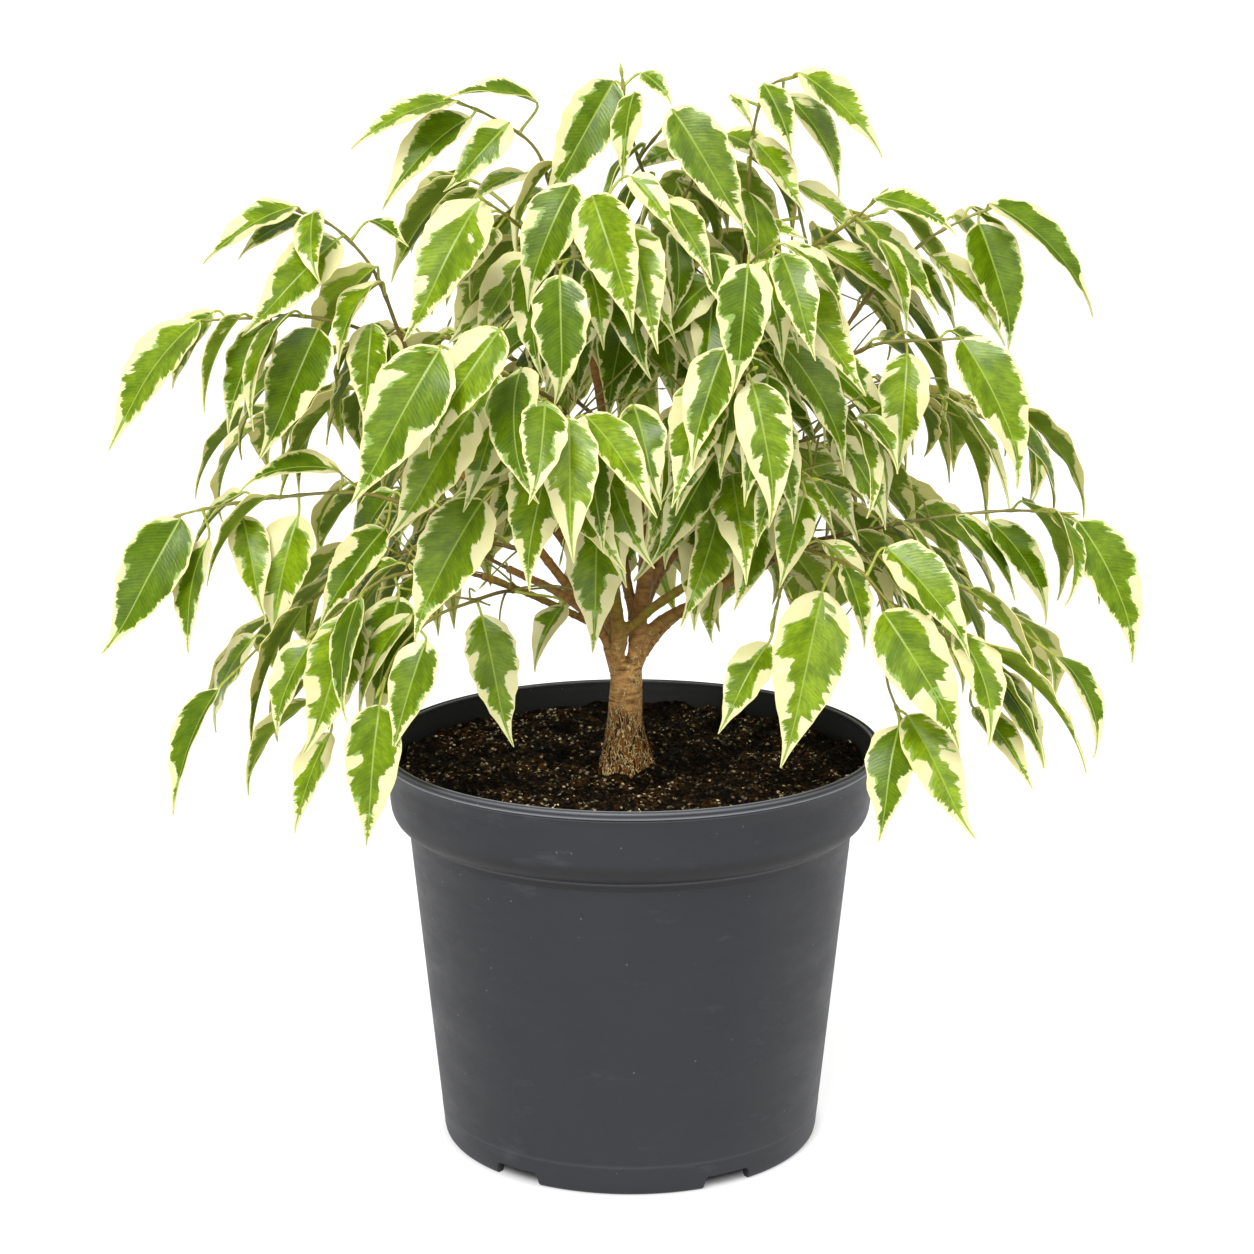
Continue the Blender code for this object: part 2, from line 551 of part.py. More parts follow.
def hang_other_leaves(twigs, thicket, leaves):
    """Leaves in the free places along every twig, on alternate sides, hanging outward."""
    draw = random.Random(23)
    for name, spray_twigs in twigs.items():
        roots = [leaf.root for leaf in leaves if leaf.spray == name]
        for twig in spray_twigs:
            side_sign = draw.choice((-1, 1))
            last = len(twig.points) - 2
            count = int(last * FINE_STEP / NODE_SPACING)
            for place in range(count):
                at = last - round(place * NODE_SPACING / FINE_STEP)
                side_sign = -side_sign
                root = twig.points[at]
                size = draw.uniform(*LEAF_LENGTHS) * (1 if place else END_LEAF_SIZE)
                width = LEAF_WIDTH * draw.uniform(0.92, 1.08)
                arch = LEAF_ARCH * draw.uniform(0.8, 1.6)
                twist = math.radians(draw.uniform(-16, 16))
                spin = draw.uniform(-18, 18)
                dip = draw.uniform(0.7, 1.25)
                tilt = draw.uniform(-0.5, 0.5)
                if any((root - other).length < ROOT_SPACING for other in roots):
                    continue
                along = (twig.points[at + 1] - twig.points[at - 1]).normalized()
                out = Vector((root.x, root.y, 0)) + 40 * Vector((along.x, along.y, 0))
                out = out.normalized()
                side = along.cross(UP)
                side = (side.normalized() if side.length > 0.2 else out.cross(UP)) * side_sign
                lead = STALK_ALONG if place else END_STALK_ALONG
                base = root + (lead * along + STALK_SIDE * side + STALK_UP * UP).normalized() * PETIOLE
                for turn in TURNS_TO_TRY:
                    swing = Matrix.Rotation(math.radians(spin + turn), 3, UP)
                    hang = swing @ (0.5 * out + 0.4 * side) - dip * UP
                    tip = base + hang.normalized() * size * (1 - abs(turn) / 300)
                    face = facing(tip - base, swing @ out + tilt * side + 0.5 * UP, 0)
                    leaf = Leaf(name, root, base, tip, face, arch, width, twist)
                    if not hides_pot(leaf) and fits(leaf, thicket):
                        leaves.append(leaf)
                        roots.append(root)
                        thicket.add(*leaf_faces(leaf), name, False)
                        break
    return leaves


def material(name, colour, roughness):
    """A plain finish for one kind of piece."""
    made = bpy.data.materials.new(name)
    made.use_nodes = True
    shader = made.node_tree.nodes["Principled BSDF"]
    shader.inputs["Base Color"].default_value = (*colour, 1)
    shader.inputs["Roughness"].default_value = roughness
    shader.inputs["Metallic"].default_value = 0.0
    made.diffuse_color = (*colour, 1)
    return made


def add_object(name, mesh, collection, finish=None):
    made = bpy.data.objects.new(name, mesh)
    collection.objects.link(made)
    if finish:
        mesh.materials.append(finish)
    return made


def move_to(thing, cutters):
    """Put a cutter in the cutters' collection, unseen in renders."""
    for home in list(thing.users_collection):
        home.objects.unlink(thing)
    cutters.objects.link(thing)
    thing.hide_render = True
    thing.display_type = "WIRE"


def mesh_from(name, corners, faces):
    """A closed mesh from corners in millimetres, with its faces turned outward."""
    mesh = bpy.data.meshes.new(name)
    mesh.from_pydata([corner * MM for corner in corners], [], faces)
    shape = bmesh.new()
    shape.from_mesh(mesh)
    bmesh.ops.recalc_face_normals(shape, faces=shape.faces)
    shape.to_mesh(mesh)
    shape.free()
    return mesh


def evaluated_mesh(thing, weld=0.01):
    """The mesh of an object with its modifiers, and with a curve's end caps welded."""
    bpy.context.view_layer.update()
    graph = bpy.context.evaluated_depsgraph_get()
    mesh = bpy.data.meshes.new_from_object(thing.evaluated_get(graph), depsgraph=graph)
    shape = bmesh.new()
    shape.from_mesh(mesh)
    if weld:
        bmesh.ops.remove_doubles(shape, verts=shape.verts, dist=weld * MM)
    bmesh.ops.recalc_face_normals(shape, faces=shape.faces)
    shape.to_mesh(mesh)
    shape.free()
    return mesh


def stem(name, points, radii, resolution, collection):
    """A closed tube along points, as a mesh: twigs have 4 sides, limbs 6 and the trunk 10."""
    curve = bpy.data.curves.new(name, "CURVE")
    curve.dimensions = "3D"
    curve.bevel_depth = MM
    curve.bevel_resolution = resolution
    curve.use_fill_caps = True
    spline = curve.splines.new("POLY")
    spline.points.add(len(points) - 1)
    for spot, point, radius in zip(spline.points, points, radii):
        spot.co = (*(point * MM), 1)
        spot.radius = radius
    drawn = add_object(name, curve, collection)
    mesh = evaluated_mesh(drawn)
    bpy.data.objects.remove(drawn)
    return add_object(name, mesh, collection)


def tidy_union(mesh):
    """Drop loose scraps and fill sealed hollows of a union, and say whether it is one closed body."""
    shape = bmesh.new()
    shape.from_mesh(mesh)
    waiting = set(shape.verts)
    bodies = []
    while waiting:
        body = [waiting.pop()]
        for corner in body:
            for edge in corner.link_edges:
                other = edge.other_vert(corner)
                if other in waiting:
                    waiting.remove(other)
                    body.append(other)
        bodies.append(body)
    bodies.sort(key=len)
    scraps = [corner for body in bodies[:-1] for corner in body]
    bmesh.ops.delete(shape, geom=scraps, context="VERTS")
    closed = all(edge.is_manifold for edge in shape.edges)
    whole = all(len(body) <= SCRAP_CORNERS for body in bodies[:-1])
    shape.to_mesh(mesh)
    shape.free()
    return closed and whole


def fuse(name, pieces, parts, finish):
    """One solid from the pieces of a node: the first is joined with the collection of the others."""
    body, *others = pieces
    joined = bpy.data.collections.new(name + "_pieces")
    bpy.context.scene.collection.children.link(joined)
    for piece in others:
        for home in list(piece.users_collection):
            home.objects.unlink(piece)
        joined.objects.link(piece)
    union = body.modifiers.new("join", "BOOLEAN")
    union.operation = "UNION"
    union.operand_type = "COLLECTION"
    union.collection = joined
    for solver in ("EXACT", "MANIFOLD"):
        union.solver = solver
        mesh = evaluated_mesh(body, weld=0)
        if tidy_union(mesh):
            break
    else:
        print("not one closed body:", name)
    for piece in list(joined.objects) + [body]:
        bpy.data.objects.remove(piece)
    bpy.data.collections.remove(joined)
    mesh.materials.clear()
    mesh.shade_smooth()
    mesh.set_sharp_from_angle(angle=SHARP_EDGE)
    return add_object(name, mesh, parts, finish)


def turned(name, profile, steps, collection):
    """A profile of (radius, height) turned about the pot's axis."""
    mesh = bpy.data.meshes.new(name)
    rows = [(radius * MM, 0, height * MM) for radius, height in profile]
    mesh.from_pydata(rows, [(i, i + 1) for i in range(len(rows) - 1)], [])
    made = add_object(name, mesh, collection)
    screw = made.modifiers.new("turn", "SCREW")
    screw.axis = "Z"
    screw.angle = math.tau
    screw.steps = steps
    screw.render_steps = steps
    screw.use_merge_vertices = True
    screw.merge_threshold = 0.00005
    screw.use_normal_calculate = False
    return made


def wall_radius(height):
    """The inside radius of the pot's wall under the band."""
    share = (height - NOTCH_HEIGHT) / (BAND_FOOT - NOTCH_HEIGHT)
    return WALL_FOOT_RADIUS + (WALL_TOP_RADIUS - WALL_FOOT_RADIUS) * share - WALL


def build_pot(parts, cutters):
    """The pot: floor, tapering wall, wider band and lip in one moulding, with notches at its foot."""
    floor = FLOOR_UNDERSIDE + WALL
    lip_under = POT_HEIGHT - LIP_HEIGHT
    profile = (
        (0, floor), (wall_radius(floor) - WALL, floor),
        (wall_radius(floor + FLOOR_CORNER), floor + FLOOR_CORNER), (wall_radius(BAND_FOOT), BAND_FOOT + WALL),
        (BAND_ROUND_RADIUS - WALL, BAND_FOOT + BAND_ROUND_HEIGHT + WALL),
        (BAND_SIDE_RADIUS - WALL, BAND_SIDE_FOOT + WALL), (BAND_TOP_RADIUS - WALL, lip_under),
        (LIP_RADIUS - LIP_ROLL, POT_HEIGHT - LIP_EDGE), (LIP_RADIUS - LIP_ROLL + LIP_EDGE, POT_HEIGHT),
        (LIP_RADIUS - LIP_EDGE, POT_HEIGHT), (LIP_RADIUS, POT_HEIGHT - LIP_EDGE),
        (LIP_RADIUS, lip_under + LIP_EDGE), (LIP_RADIUS - LIP_EDGE, lip_under), (BAND_TOP_RADIUS, lip_under),
        (BAND_SIDE_RADIUS, BAND_SIDE_FOOT), (BAND_ROUND_RADIUS, BAND_FOOT + BAND_ROUND_HEIGHT),
        (WALL_TOP_RADIUS + 1.4, BAND_FOOT), (WALL_TOP_RADIUS, BAND_FOOT - 0.4),
        (WALL_FOOT_RADIUS, NOTCH_HEIGHT), (WALL_FOOT_RADIUS - 0.4, 2.0),
        (FOOT_RADIUS + 0.9, 0.5), (FOOT_RADIUS, 0),
        (FOOT_RADIUS - FOOT_WIDTH, 0), (FOOT_RADIUS - FOOT_WIDTH, FLOOR_UNDERSIDE), (0, FLOOR_UNDERSIDE),
    )
    pot = turned("pot", profile, POT_STEPS, parts)
    pot.data.materials.append(material("pot plastic", (0.062, 0.063, 0.068), 0.55))
    depth = WALL_FOOT_RADIUS + 4 - NOTCH_INNER_RADIUS
    for number, angle in enumerate(NOTCH_ANGLES):
        bpy.ops.mesh.primitive_cube_add(size=1)
        notch = bpy.context.object
        notch.name = f"notch_{number + 1}"
        move_to(notch, cutters)
        away = math.radians(angle - 90)
        middle = NOTCH_INNER_RADIUS + depth / 2
        notch.scale = Vector((depth, NOTCH_WIDTH, NOTCH_HEIGHT + 1)) * MM
        notch.rotation_euler = (0, 0, away)
        notch.location = Vector((middle * math.cos(away), middle * math.sin(away),
                                 (NOTCH_HEIGHT - 1) / 2)) * MM
    cut = pot.modifiers.new("notches", "BOOLEAN")
    cut.operation = "DIFFERENCE"
    cut.operand_type = "COLLECTION"
    cut.collection = cutters


def soil_bump(point):
    """How far the potting mix stands above its mean level, in millimetres."""
    x, y = point.x / MM, point.y / MM
    lump = math.sin(0.11 * x + 1.3) * math.cos(0.13 * y) + 0.6 * math.sin(0.21 * x - 0.17 * y)
    return SOIL_RISE * y + SOIL_BUMP * lump


def build_soil(parts, cutters):
    """The potting mix: it fills the pot to below the lip, with a plain hole for the trunk."""
    bottom = FLOOR_UNDERSIDE + WALL + GAP
    band = BAND_SIDE_RADIUS - WALL - 2 * GAP
    profile = (
        [(0, SOIL_HEIGHT)] + [(ring, SOIL_HEIGHT) for ring in SOIL_RINGS]
        + [(band, SOIL_HEIGHT), (band, BAND_SIDE_FOOT + WALL),
           (BAND_ROUND_RADIUS - WALL - 2 * GAP, BAND_FOOT + BAND_ROUND_HEIGHT + WALL + 2 * GAP),
           (wall_radius(BAND_FOOT) - 2 * GAP, BAND_FOOT + WALL),
           (wall_radius(bottom + FLOOR_CORNER) - 2 * GAP, bottom + FLOOR_CORNER + GAP),
           (wall_radius(bottom) - WALL - 2 * FLOOR_CORNER, bottom),
           (0, bottom)])
    soil = turned("soil_block", profile, POT_STEPS, parts)
    mesh = evaluated_mesh(soil)
    bpy.data.objects.remove(soil)
    for corner in mesh.vertices:
        if corner.co.z > (SOIL_HEIGHT - 1) * MM:
            corner.co.z += soil_bump(corner.co) * MM
    soil = add_object("soil", mesh, parts, material("potting mix", (0.035, 0.022, 0.014), 0.95))
    deep = SOIL_HEIGHT - STEM_HOLE_BOTTOM + 20
    bpy.ops.mesh.primitive_cylinder_add(vertices=STEM_HOLE_SIDES, radius=STEM_HOLE_RADIUS * MM,
                                        depth=deep * MM)
    hole = bpy.context.object
    hole.name = "stem_hole"
    foot = seen(*TRUNK[2][:3])
    hole.location = Vector((foot.x, foot.y, STEM_HOLE_BOTTOM + deep / 2)) * MM
    move_to(hole, cutters)
    cut = soil.modifiers.new("stem hole", "BOOLEAN")
    cut.operation = "DIFFERENCE"
    cut.object = hole


def build_trunk(parts):
    """The trunk with its root flare, and the limbs that leave its fork, grown as one piece."""
    places = [seen(across, up, behind) for across, up, behind, _ in TRUNK]
    trunk = stem("trunk_stem", places, [radius for *_, radius in TRUNK], 3, parts)
    for corner in trunk.data.vertices:
        out = Vector((corner.co.x / MM - places[0].x, corner.co.y / MM))
        height = corner.co.z / MM
        if height < TRUNK[4][1] and out.length > 1:
            near_soil = math.exp(-((height - SOIL_HEIGHT) / 10) ** 2)
            lobe = FLARE_DEPTH * math.cos(FLARE_LOBES * math.atan2(out.y, out.x)) * near_soil
            corner.co.x += out.x * lobe * MM
            corner.co.y += out.y * lobe * MM
    pieces = [trunk]
    for name, (first, last, route) in LIMBS.items():
        points = smooth([seen(*place) for place in route], LIMB_STEP)
        pieces.append(stem("limb_" + name, points, taper(first, last, len(points)), 1, parts))
    return fuse("trunk", pieces, parts, material("fig bark", (0.23, 0.12, 0.055), 0.8))


def start_clear(points, radius, wood):
    """Where along its route a spray's own wood starts: just clear of the limb that carries it."""
    for i in range(len(points) - 2):
        for j in range(12):
            start = points[i].lerp(points[i + 1], j / 12)
            along = (points[i + 1] - points[i]).normalized()
            side = along.cross(UP if abs(along.z) < 0.9 else Vector((1, 0, 0))).normalized()
            ring = [start + radius * (Matrix.Rotation(math.tau * k / 12, 3, along) @ side) for k in range(12)]
            if all(stands_off(corner, wood) for corner in ring + [start]):
                return [start] + points[i + 1:]
    return points


def stands_off(point, wood):
    """Whether a point is outside the wood by the gap that two pieces keep."""
    place, normal, _, distance = wood.find_nearest(point * MM)
    return distance > GAP * MM and normal.dot(point * MM - place) > 0


def thin_out(points, first, last):
    """The places of the points that a polyline needs to stay within TWIG_SLACK of a fine route."""
    run = points[last] - points[first]
    furthest, off = None, TWIG_SLACK
    for i in range(first + 1, last):
        reach = points[i] - points[first]
        apart = (reach - run * reach.dot(run) / run.length_squared).length
        if apart > off:
            furthest, off = i, apart
    if furthest is None:
        return [first, last]
    return thin_out(points, first, furthest)[:-1] + thin_out(points, furthest, last)


def build_sprays(trunk, parts):
    """Each leafy spray as one solid: its twigs, with the petioles of its leaves sunk into them."""
    thicket = Thicket()
    limbs, twigs = lay_twigs(thicket)
    leaves = hang_seen_leaves(twigs, thicket)
    leaves = hang_other_leaves(twigs, thicket, leaves)
    wood = BVHTree.FromObject(trunk, bpy.context.evaluated_depsgraph_get())
    green = material("variegated leaf", (0.16, 0.33, 0.045), 0.45)
    for name, spray_twigs in twigs.items():
        pieces = []
        for order, twig in enumerate(spray_twigs):
            points, radii = twig.points, twig.radii
            if order == 0:
                points = start_clear(points, radii[0], wood)
                radii = radii[len(radii) - len(points):]
            kept = thin_out(points, 0, len(points) - 1)
            pieces.append(stem(f"{name}_twig_{order}", [points[i] for i in kept],
                               [radii[i] for i in kept], 0, parts))
        for number, leaf in enumerate(leaf for leaf in leaves if leaf.spray == name):
            blade = mesh_from(f"{name}_leaf_{number}", *leaf_faces(leaf))
            pieces.append(add_object(blade.name, blade, parts))
        fuse(name, pieces, parts, green)


for thing in list(bpy.data.objects):
    bpy.data.objects.remove(thing)

figs = bpy.data.collections.new("weeping_fig")
pot_cutters = bpy.data.collections.new("pot_cutters")
soil_cutters = bpy.data.collections.new("soil_cutters")
for group in (figs, pot_cutters, soil_cutters):
    bpy.context.scene.collection.children.link(group)

build_pot(figs, pot_cutters)
build_soil(figs, soil_cutters)
build_sprays(build_trunk(figs), figs)
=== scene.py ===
"""The looks of a weeping fig with cream-edged leaves: pot, potting mix, bark, twigs and leaves.

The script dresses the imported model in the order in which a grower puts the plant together: the pot, the
potting mix, the trunk with its limbs, the leafy sprays, and last the studio. Lengths are in millimetres
up to the point where a mesh is made. The origin is the middle of the pot's base, +Z is up, and the front
of the plant looks along -Y.
"""
import math
import random
from collections import namedtuple

import bmesh
import bpy
import numpy as np
from mathutils import Matrix, Vector, noise
from mathutils.bvhtree import BVHTree
from mathutils.kdtree import KDTree


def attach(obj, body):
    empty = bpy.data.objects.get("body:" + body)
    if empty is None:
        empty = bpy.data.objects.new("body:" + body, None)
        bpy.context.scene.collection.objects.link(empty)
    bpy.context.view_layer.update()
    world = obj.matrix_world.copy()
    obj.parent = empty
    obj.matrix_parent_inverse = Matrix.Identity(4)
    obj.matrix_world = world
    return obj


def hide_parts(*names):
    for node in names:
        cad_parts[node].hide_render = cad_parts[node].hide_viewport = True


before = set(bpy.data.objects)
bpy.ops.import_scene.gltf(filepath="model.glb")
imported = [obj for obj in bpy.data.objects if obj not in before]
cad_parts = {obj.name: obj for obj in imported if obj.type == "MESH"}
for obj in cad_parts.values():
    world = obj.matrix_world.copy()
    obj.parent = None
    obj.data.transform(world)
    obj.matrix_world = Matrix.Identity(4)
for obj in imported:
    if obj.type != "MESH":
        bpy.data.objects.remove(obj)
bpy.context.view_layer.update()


# The pot is a 19 cm nursery pot, moulded in one piece from thin anthracite polypropylene. It has a
# rolled lip that stacks and carries it, a wider band below the lip, and five drain notches in its foot.
MM = 0.001
POT_HEIGHT = 154.0
LIP_RADIUS = 95.0
LIP_HEIGHT = 3.0
LIP_ROLL = 3.3
BEAD = 0.85
UNDERCUT = 1.1
BAND_TOP_RADIUS = 92.2
BAND_SIDE_RADIUS = 91.3
BAND_SIDE_FOOT = 131.5
BAND_ROUND_RADIUS = 89.2
BAND_FOOT = 124.8
WALL_TOP_RADIUS = 84.6
WALL_FOOT_RADIUS = 72.6
# The outside of the band as (radius, height): its leaning side, rounded foot and small step in to the wall.
BAND_OUTLINE = (
    (91.9, 145.0), (91.6, 138.0), (91.35, 133.5), (90.95, 130.6), (90.35, 128.8), (89.6, 127.4),
    (88.5, 126.2), (87.3, 125.5), (86.2, 125.1), (85.8, 124.9), (85.65, 124.6), (85.6, 124.0),
    (85.35, 123.75), (84.45, 123.7),
)
WALL = 1.6
MOULD_LINE = 11.5
# How proud the wall stands where two parts of the mould met, as (height above that line, how much).
MOULD_STEP = ((1.3, 0.0), (0.4, 0.0), (0.0, 0.08), (-1.0, 0.06))
FOOT_RADIUS = 70.6
FOOT_WIDTH = 2.6
FOOT_INNER_RADIUS = FOOT_RADIUS - FOOT_WIDTH
FLOOR_UNDERSIDE = 3.0
FLOOR_CORNER = 2.2
FLOOR_RIB_RADII = (44.0, 22.0)
# The section of a rib under the floor, as (how far out from its middle, how deep).
FLOOR_RIB = ((1.2, 0), (0.8, 0.9), (-0.8, 0.9), (-1.2, 0))
POT_STEPS = 240
POT_SHARP = 38
WELD = 0.02
AXIS_WELD = 0.05
NOTCH_FOOT_WIDTH = 20.5
NOTCH_TOP_WIDTH = 18.5
NOTCH_HEIGHT = 5.2
NOTCH_INNER_RADIUS = 57.0
NOTCH_ANGLES = (-36.0, 30.0, 103.5, 177.0, 250.5)
POT_GREY = "#15161b"
POT_LIGHT_GREY = "#1e1f24"
POT_SCUFF = "#66666a"
# The colour of the painted highlight along the pot's edges.
POT_EDGE_HIGHLIGHT = "#b2b3b8"
# The colour of the painted shade on the pot's inside wall.
POT_INNER_SHADE = "#08080a"
# The edges that carry a painted highlight, a pale line, as (radius, height, how much), and how far that
# reaches up and down. It reaches further across a flat top than down a side.
HIGHLIT_EDGES = ((92.3, 154.0, 0.7), (94.75, 153.55, 0.3), (94.85, 151.55, 0.6), (91.95, 150.1, 0.35),
                (85.65, 124.45, 0.12), (73.4, 11.5, 0.04))
HIGHLIGHT_REACH = 0.36
HIGHLIGHT_ACROSS = 2.2
# The painted shade on the inside wall reaches up to this height.
INNER_SHADE_TOP = 152.8
POT_CLOUD = 26.0
POT_SCUFF_LENGTH = 34.0
POT_SPECK_SPACING = 7.0
# The pebbled grain of a real pot is finer. It is drawn as coarse as it needs to show.
POT_GRAIN = 0.9
POT_GRAIN_DEPTH = 0.12


def linear(code):
    """The linear colour of an sRGB hex code."""
    parts = [int(code[place:place + 2], 16) / 255 for place in (1, 3, 5)]
    return (*(part / 12.92 if part <= 0.04045 else ((part + 0.055) / 1.055) ** 2.4 for part in parts), 1.0)


def wire(node, sockets):
    """Gives a node's live sockets, by name or by number, a value, a node's first output or one output."""
    live = [socket for socket in node.inputs if socket.enabled]
    for key, value in sockets.items():
        socket = live[key] if isinstance(key, int) else next(s for s in live if s.name == key)
        if isinstance(value, bpy.types.Node):
            value = next(output for output in value.outputs if output.enabled)
        if isinstance(value, bpy.types.NodeSocket):
            node.id_data.links.new(value, socket)
        else:
            socket.default_value = value


def add(tree, kind, sockets=None, **settings):
    """Adds a node with its settings and links."""
    made = tree.nodes.new("ShaderNode" + kind)
    for name, value in settings.items():
        setattr(made, name, value)
    wire(made, sockets or {})
    return made


def new_finish(name, values):
    """A material named for its stuff and making, with the values that are the same all over."""
    made = bpy.data.materials.new(name)
    made.use_nodes = True
    shader = made.node_tree.nodes["Principled BSDF"]
    wire(shader, values)
    return made, made.node_tree, shader


def applied(thing):
    """The mesh of an object with its modifiers made part of it. The object is removed."""
    bpy.context.view_layer.update()
    graph = bpy.context.evaluated_depsgraph_get()
    mesh = bpy.data.meshes.new_from_object(thing.evaluated_get(graph), depsgraph=graph)
    mesh.materials.clear()
    bpy.data.objects.remove(thing)
    return mesh


def mark(mesh, name, values):
    """Keeps one value, or three in a row, for each point of a mesh, for its finish to read."""
    if len(values) == len(mesh.vertices):
        mesh.attributes.new(name, "FLOAT", "POINT").data.foreach_set("value", values)
    else:
        mesh.attributes.new(name, "FLOAT_VECTOR", "POINT").data.foreach_set("vector", values)


def show(name, mesh, finishes=()):
    """A piece of the scene from a mesh, with its materials in order."""
    piece = bpy.data.objects.new(name, mesh)
    bpy.context.scene.collection.objects.link(piece)
    for finish in finishes:
        mesh.materials.append(finish)
    return piece


def arc(centre, across, up, start, end, steps):
    """Points of (radius, height) along part of an ellipse, between two angles in degrees."""
    turns = [math.radians(start + (end - start) * i / steps) for i in range(steps + 1)]
    return [(centre[0] + across * math.cos(turn), centre[1] + up * math.sin(turn)) for turn in turns]


def wall_radius(height):
    """The outer radius of the pot's tapering wall."""
    share = (height - NOTCH_HEIGHT) / (BAND_FOOT - NOTCH_HEIGHT)
    return WALL_FOOT_RADIUS + (WALL_TOP_RADIUS - WALL_FOOT_RADIUS) * share


def pot_profile():
    """The pot's section from the middle of its floor over the lip to the middle of its underside."""
    floor = FLOOR_UNDERSIDE + WALL
    corner = wall_radius(floor) - 2 * WALL
    inside = [(0, floor), (30, floor), (corner - 1, floor)]
    inside += arc((corner, floor + FLOOR_CORNER), FLOOR_CORNER, FLOOR_CORNER, -70, 0, 5)
    inside += [(wall_radius(height) - WALL, height) for height in range(12, 124, 14)]
    inside += arc((BAND_ROUND_RADIUS - WALL - 2.6, BAND_FOOT + WALL + 5.4), 3.9, 4.6, -80, -10, 6)
    inside += [(BAND_SIDE_RADIUS - WALL, BAND_SIDE_FOOT + 4), (BAND_TOP_RADIUS - WALL, 150.0)]
    roll = arc((LIP_RADIUS - LIP_ROLL + BEAD, POT_HEIGHT - 1.25), BEAD, 1.25, 200, 50, 7)
    roll += [(LIP_RADIUS - LIP_ROLL / 2, POT_HEIGHT - 0.5)]
    roll += arc((LIP_RADIUS - BEAD, POT_HEIGHT - LIP_HEIGHT / 2), BEAD, LIP_HEIGHT / 2, 130, -80, 11)
    band = [(BAND_TOP_RADIUS - UNDERCUT, 150.95), (BAND_TOP_RADIUS - UNDERCUT, 150.35)]
    band += arc((BAND_TOP_RADIUS - 0.35, 149.75), 0.45, 0.45, 110, -50, 6)
    band += BAND_OUTLINE
    wall = [(wall_radius(height), height) for height in range(122, 14, -9)]
    wall += [(wall_radius(MOULD_LINE + above) + proud, MOULD_LINE + above) for above, proud in MOULD_STEP]
    wall.append((wall_radius(NOTCH_HEIGHT), NOTCH_HEIGHT))
    foot = [(WALL_FOOT_RADIUS - 0.2, 3.0), (72.0, 1.2), (71.5, 0.5), (FOOT_RADIUS, 0),
            (FOOT_INNER_RADIUS + 0.5, 0), (FOOT_INNER_RADIUS, 0.5),
            (FOOT_INNER_RADIUS, FLOOR_UNDERSIDE - 0.6), (FOOT_INNER_RADIUS - 0.6, FLOOR_UNDERSIDE)]
    for radius in FLOOR_RIB_RADII:
        foot += [(radius + out, FLOOR_UNDERSIDE - down) for out, down in FLOOR_RIB]
    return inside + roll + band + wall + foot + [(0, FLOOR_UNDERSIDE)]


def turned_pot():
    """The pot's section turned about its axis."""
    profile = pot_profile()
    mesh = bpy.data.meshes.new("turned_pot")
    mesh.from_pydata([(radius * MM, 0, height * MM) for radius, height in profile],
                     [(i, i + 1) for i in range(len(profile) - 1)], [])
    made = show("turned_pot", mesh)
    screw = made.modifiers.new("turn", "SCREW")
    screw.angle = math.tau
    screw.steps = POT_STEPS
    screw.render_steps = POT_STEPS
    screw.use_merge_vertices = True
    screw.merge_threshold = AXIS_WELD * MM
    return made


def face_out(mesh, sharp):
    """Turns a closed mesh's faces outward and shades it smooth up to an angle in degrees."""
    shape = bmesh.new()
    shape.from_mesh(mesh)
    bmesh.ops.remove_doubles(shape, verts=shape.verts, dist=WELD * MM)
    bmesh.ops.recalc_face_normals(shape, faces=shape.faces)
    shape.to_mesh(mesh)
    shape.free()
    mesh.shade_smooth()
    mesh.set_sharp_from_angle(angle=math.radians(sharp))


def ring_faces(first, sides):
    """The faces between a ring of corners, numbered from the first on, and the ring after it."""
    return [(first + k, first + (k + 1) % sides, first + sides + (k + 1) % sides, first + sides + k)
            for k in range(sides)]


def notch_cutters():
    """One mesh of five wedges, each a little wider at the foot than at the top."""
    foot, top = NOTCH_FOOT_WIDTH / 2, NOTCH_TOP_WIDTH / 2
    section = ((-foot, -1), (foot, -1), (top, NOTCH_HEIGHT - 1), (top - 1, NOTCH_HEIGHT),
               (1 - top, NOTCH_HEIGHT), (-top, NOTCH_HEIGHT - 1))
    sides = len(section)
    corners, faces = [], []
    for angle in NOTCH_ANGLES:
        turn = Matrix.Rotation(math.radians(angle - 90), 3, "Z")
        start = len(corners)
        for radius in (NOTCH_INNER_RADIUS, WALL_FOOT_RADIUS + 4):
            corners += [turn @ Vector((radius, across, up)) * MM for across, up in section]
        inner = list(range(start, start + sides))
        outer = list(range(start + sides, start + 2 * sides))
        faces += [inner[::-1], outer] + ring_faces(start, sides)
    mesh = bpy.data.meshes.new("notch_cutters")
    mesh.from_pydata(corners, [], faces)
    face_out(mesh, 30)
    return show("notch_cutters", mesh)


def paint_pot_highlights_and_shade(mesh):
    """Marks how much painted highlight each point of the pot's edges gets, and where painted shade darkens
    its inside.
    """
    edge_highlight, inner_shades = [], []
    for corner in mesh.vertices:
        radius, height = math.hypot(corner.co.x, corner.co.y) / MM, corner.co.z / MM
        highlights = [share * math.exp(-((radius - r) / HIGHLIGHT_ACROSS / HIGHLIGHT_REACH) ** 2
                                 - ((height - h) / HIGHLIGHT_REACH) ** 2) for r, h, share in HIGHLIT_EDGES]
        edge_highlight.append(max(highlights))
        skin = BAND_TOP_RADIUS - WALL + 0.4 if height > BAND_FOOT else wall_radius(height) - 1
        inner_shades.append(1.0 if radius < skin and FLOOR_UNDERSIDE < height < INNER_SHADE_TOP else 0.0)
    mark(mesh, "edge_highlight", edge_highlight)
    mark(mesh, "inner_shade", inner_shades)
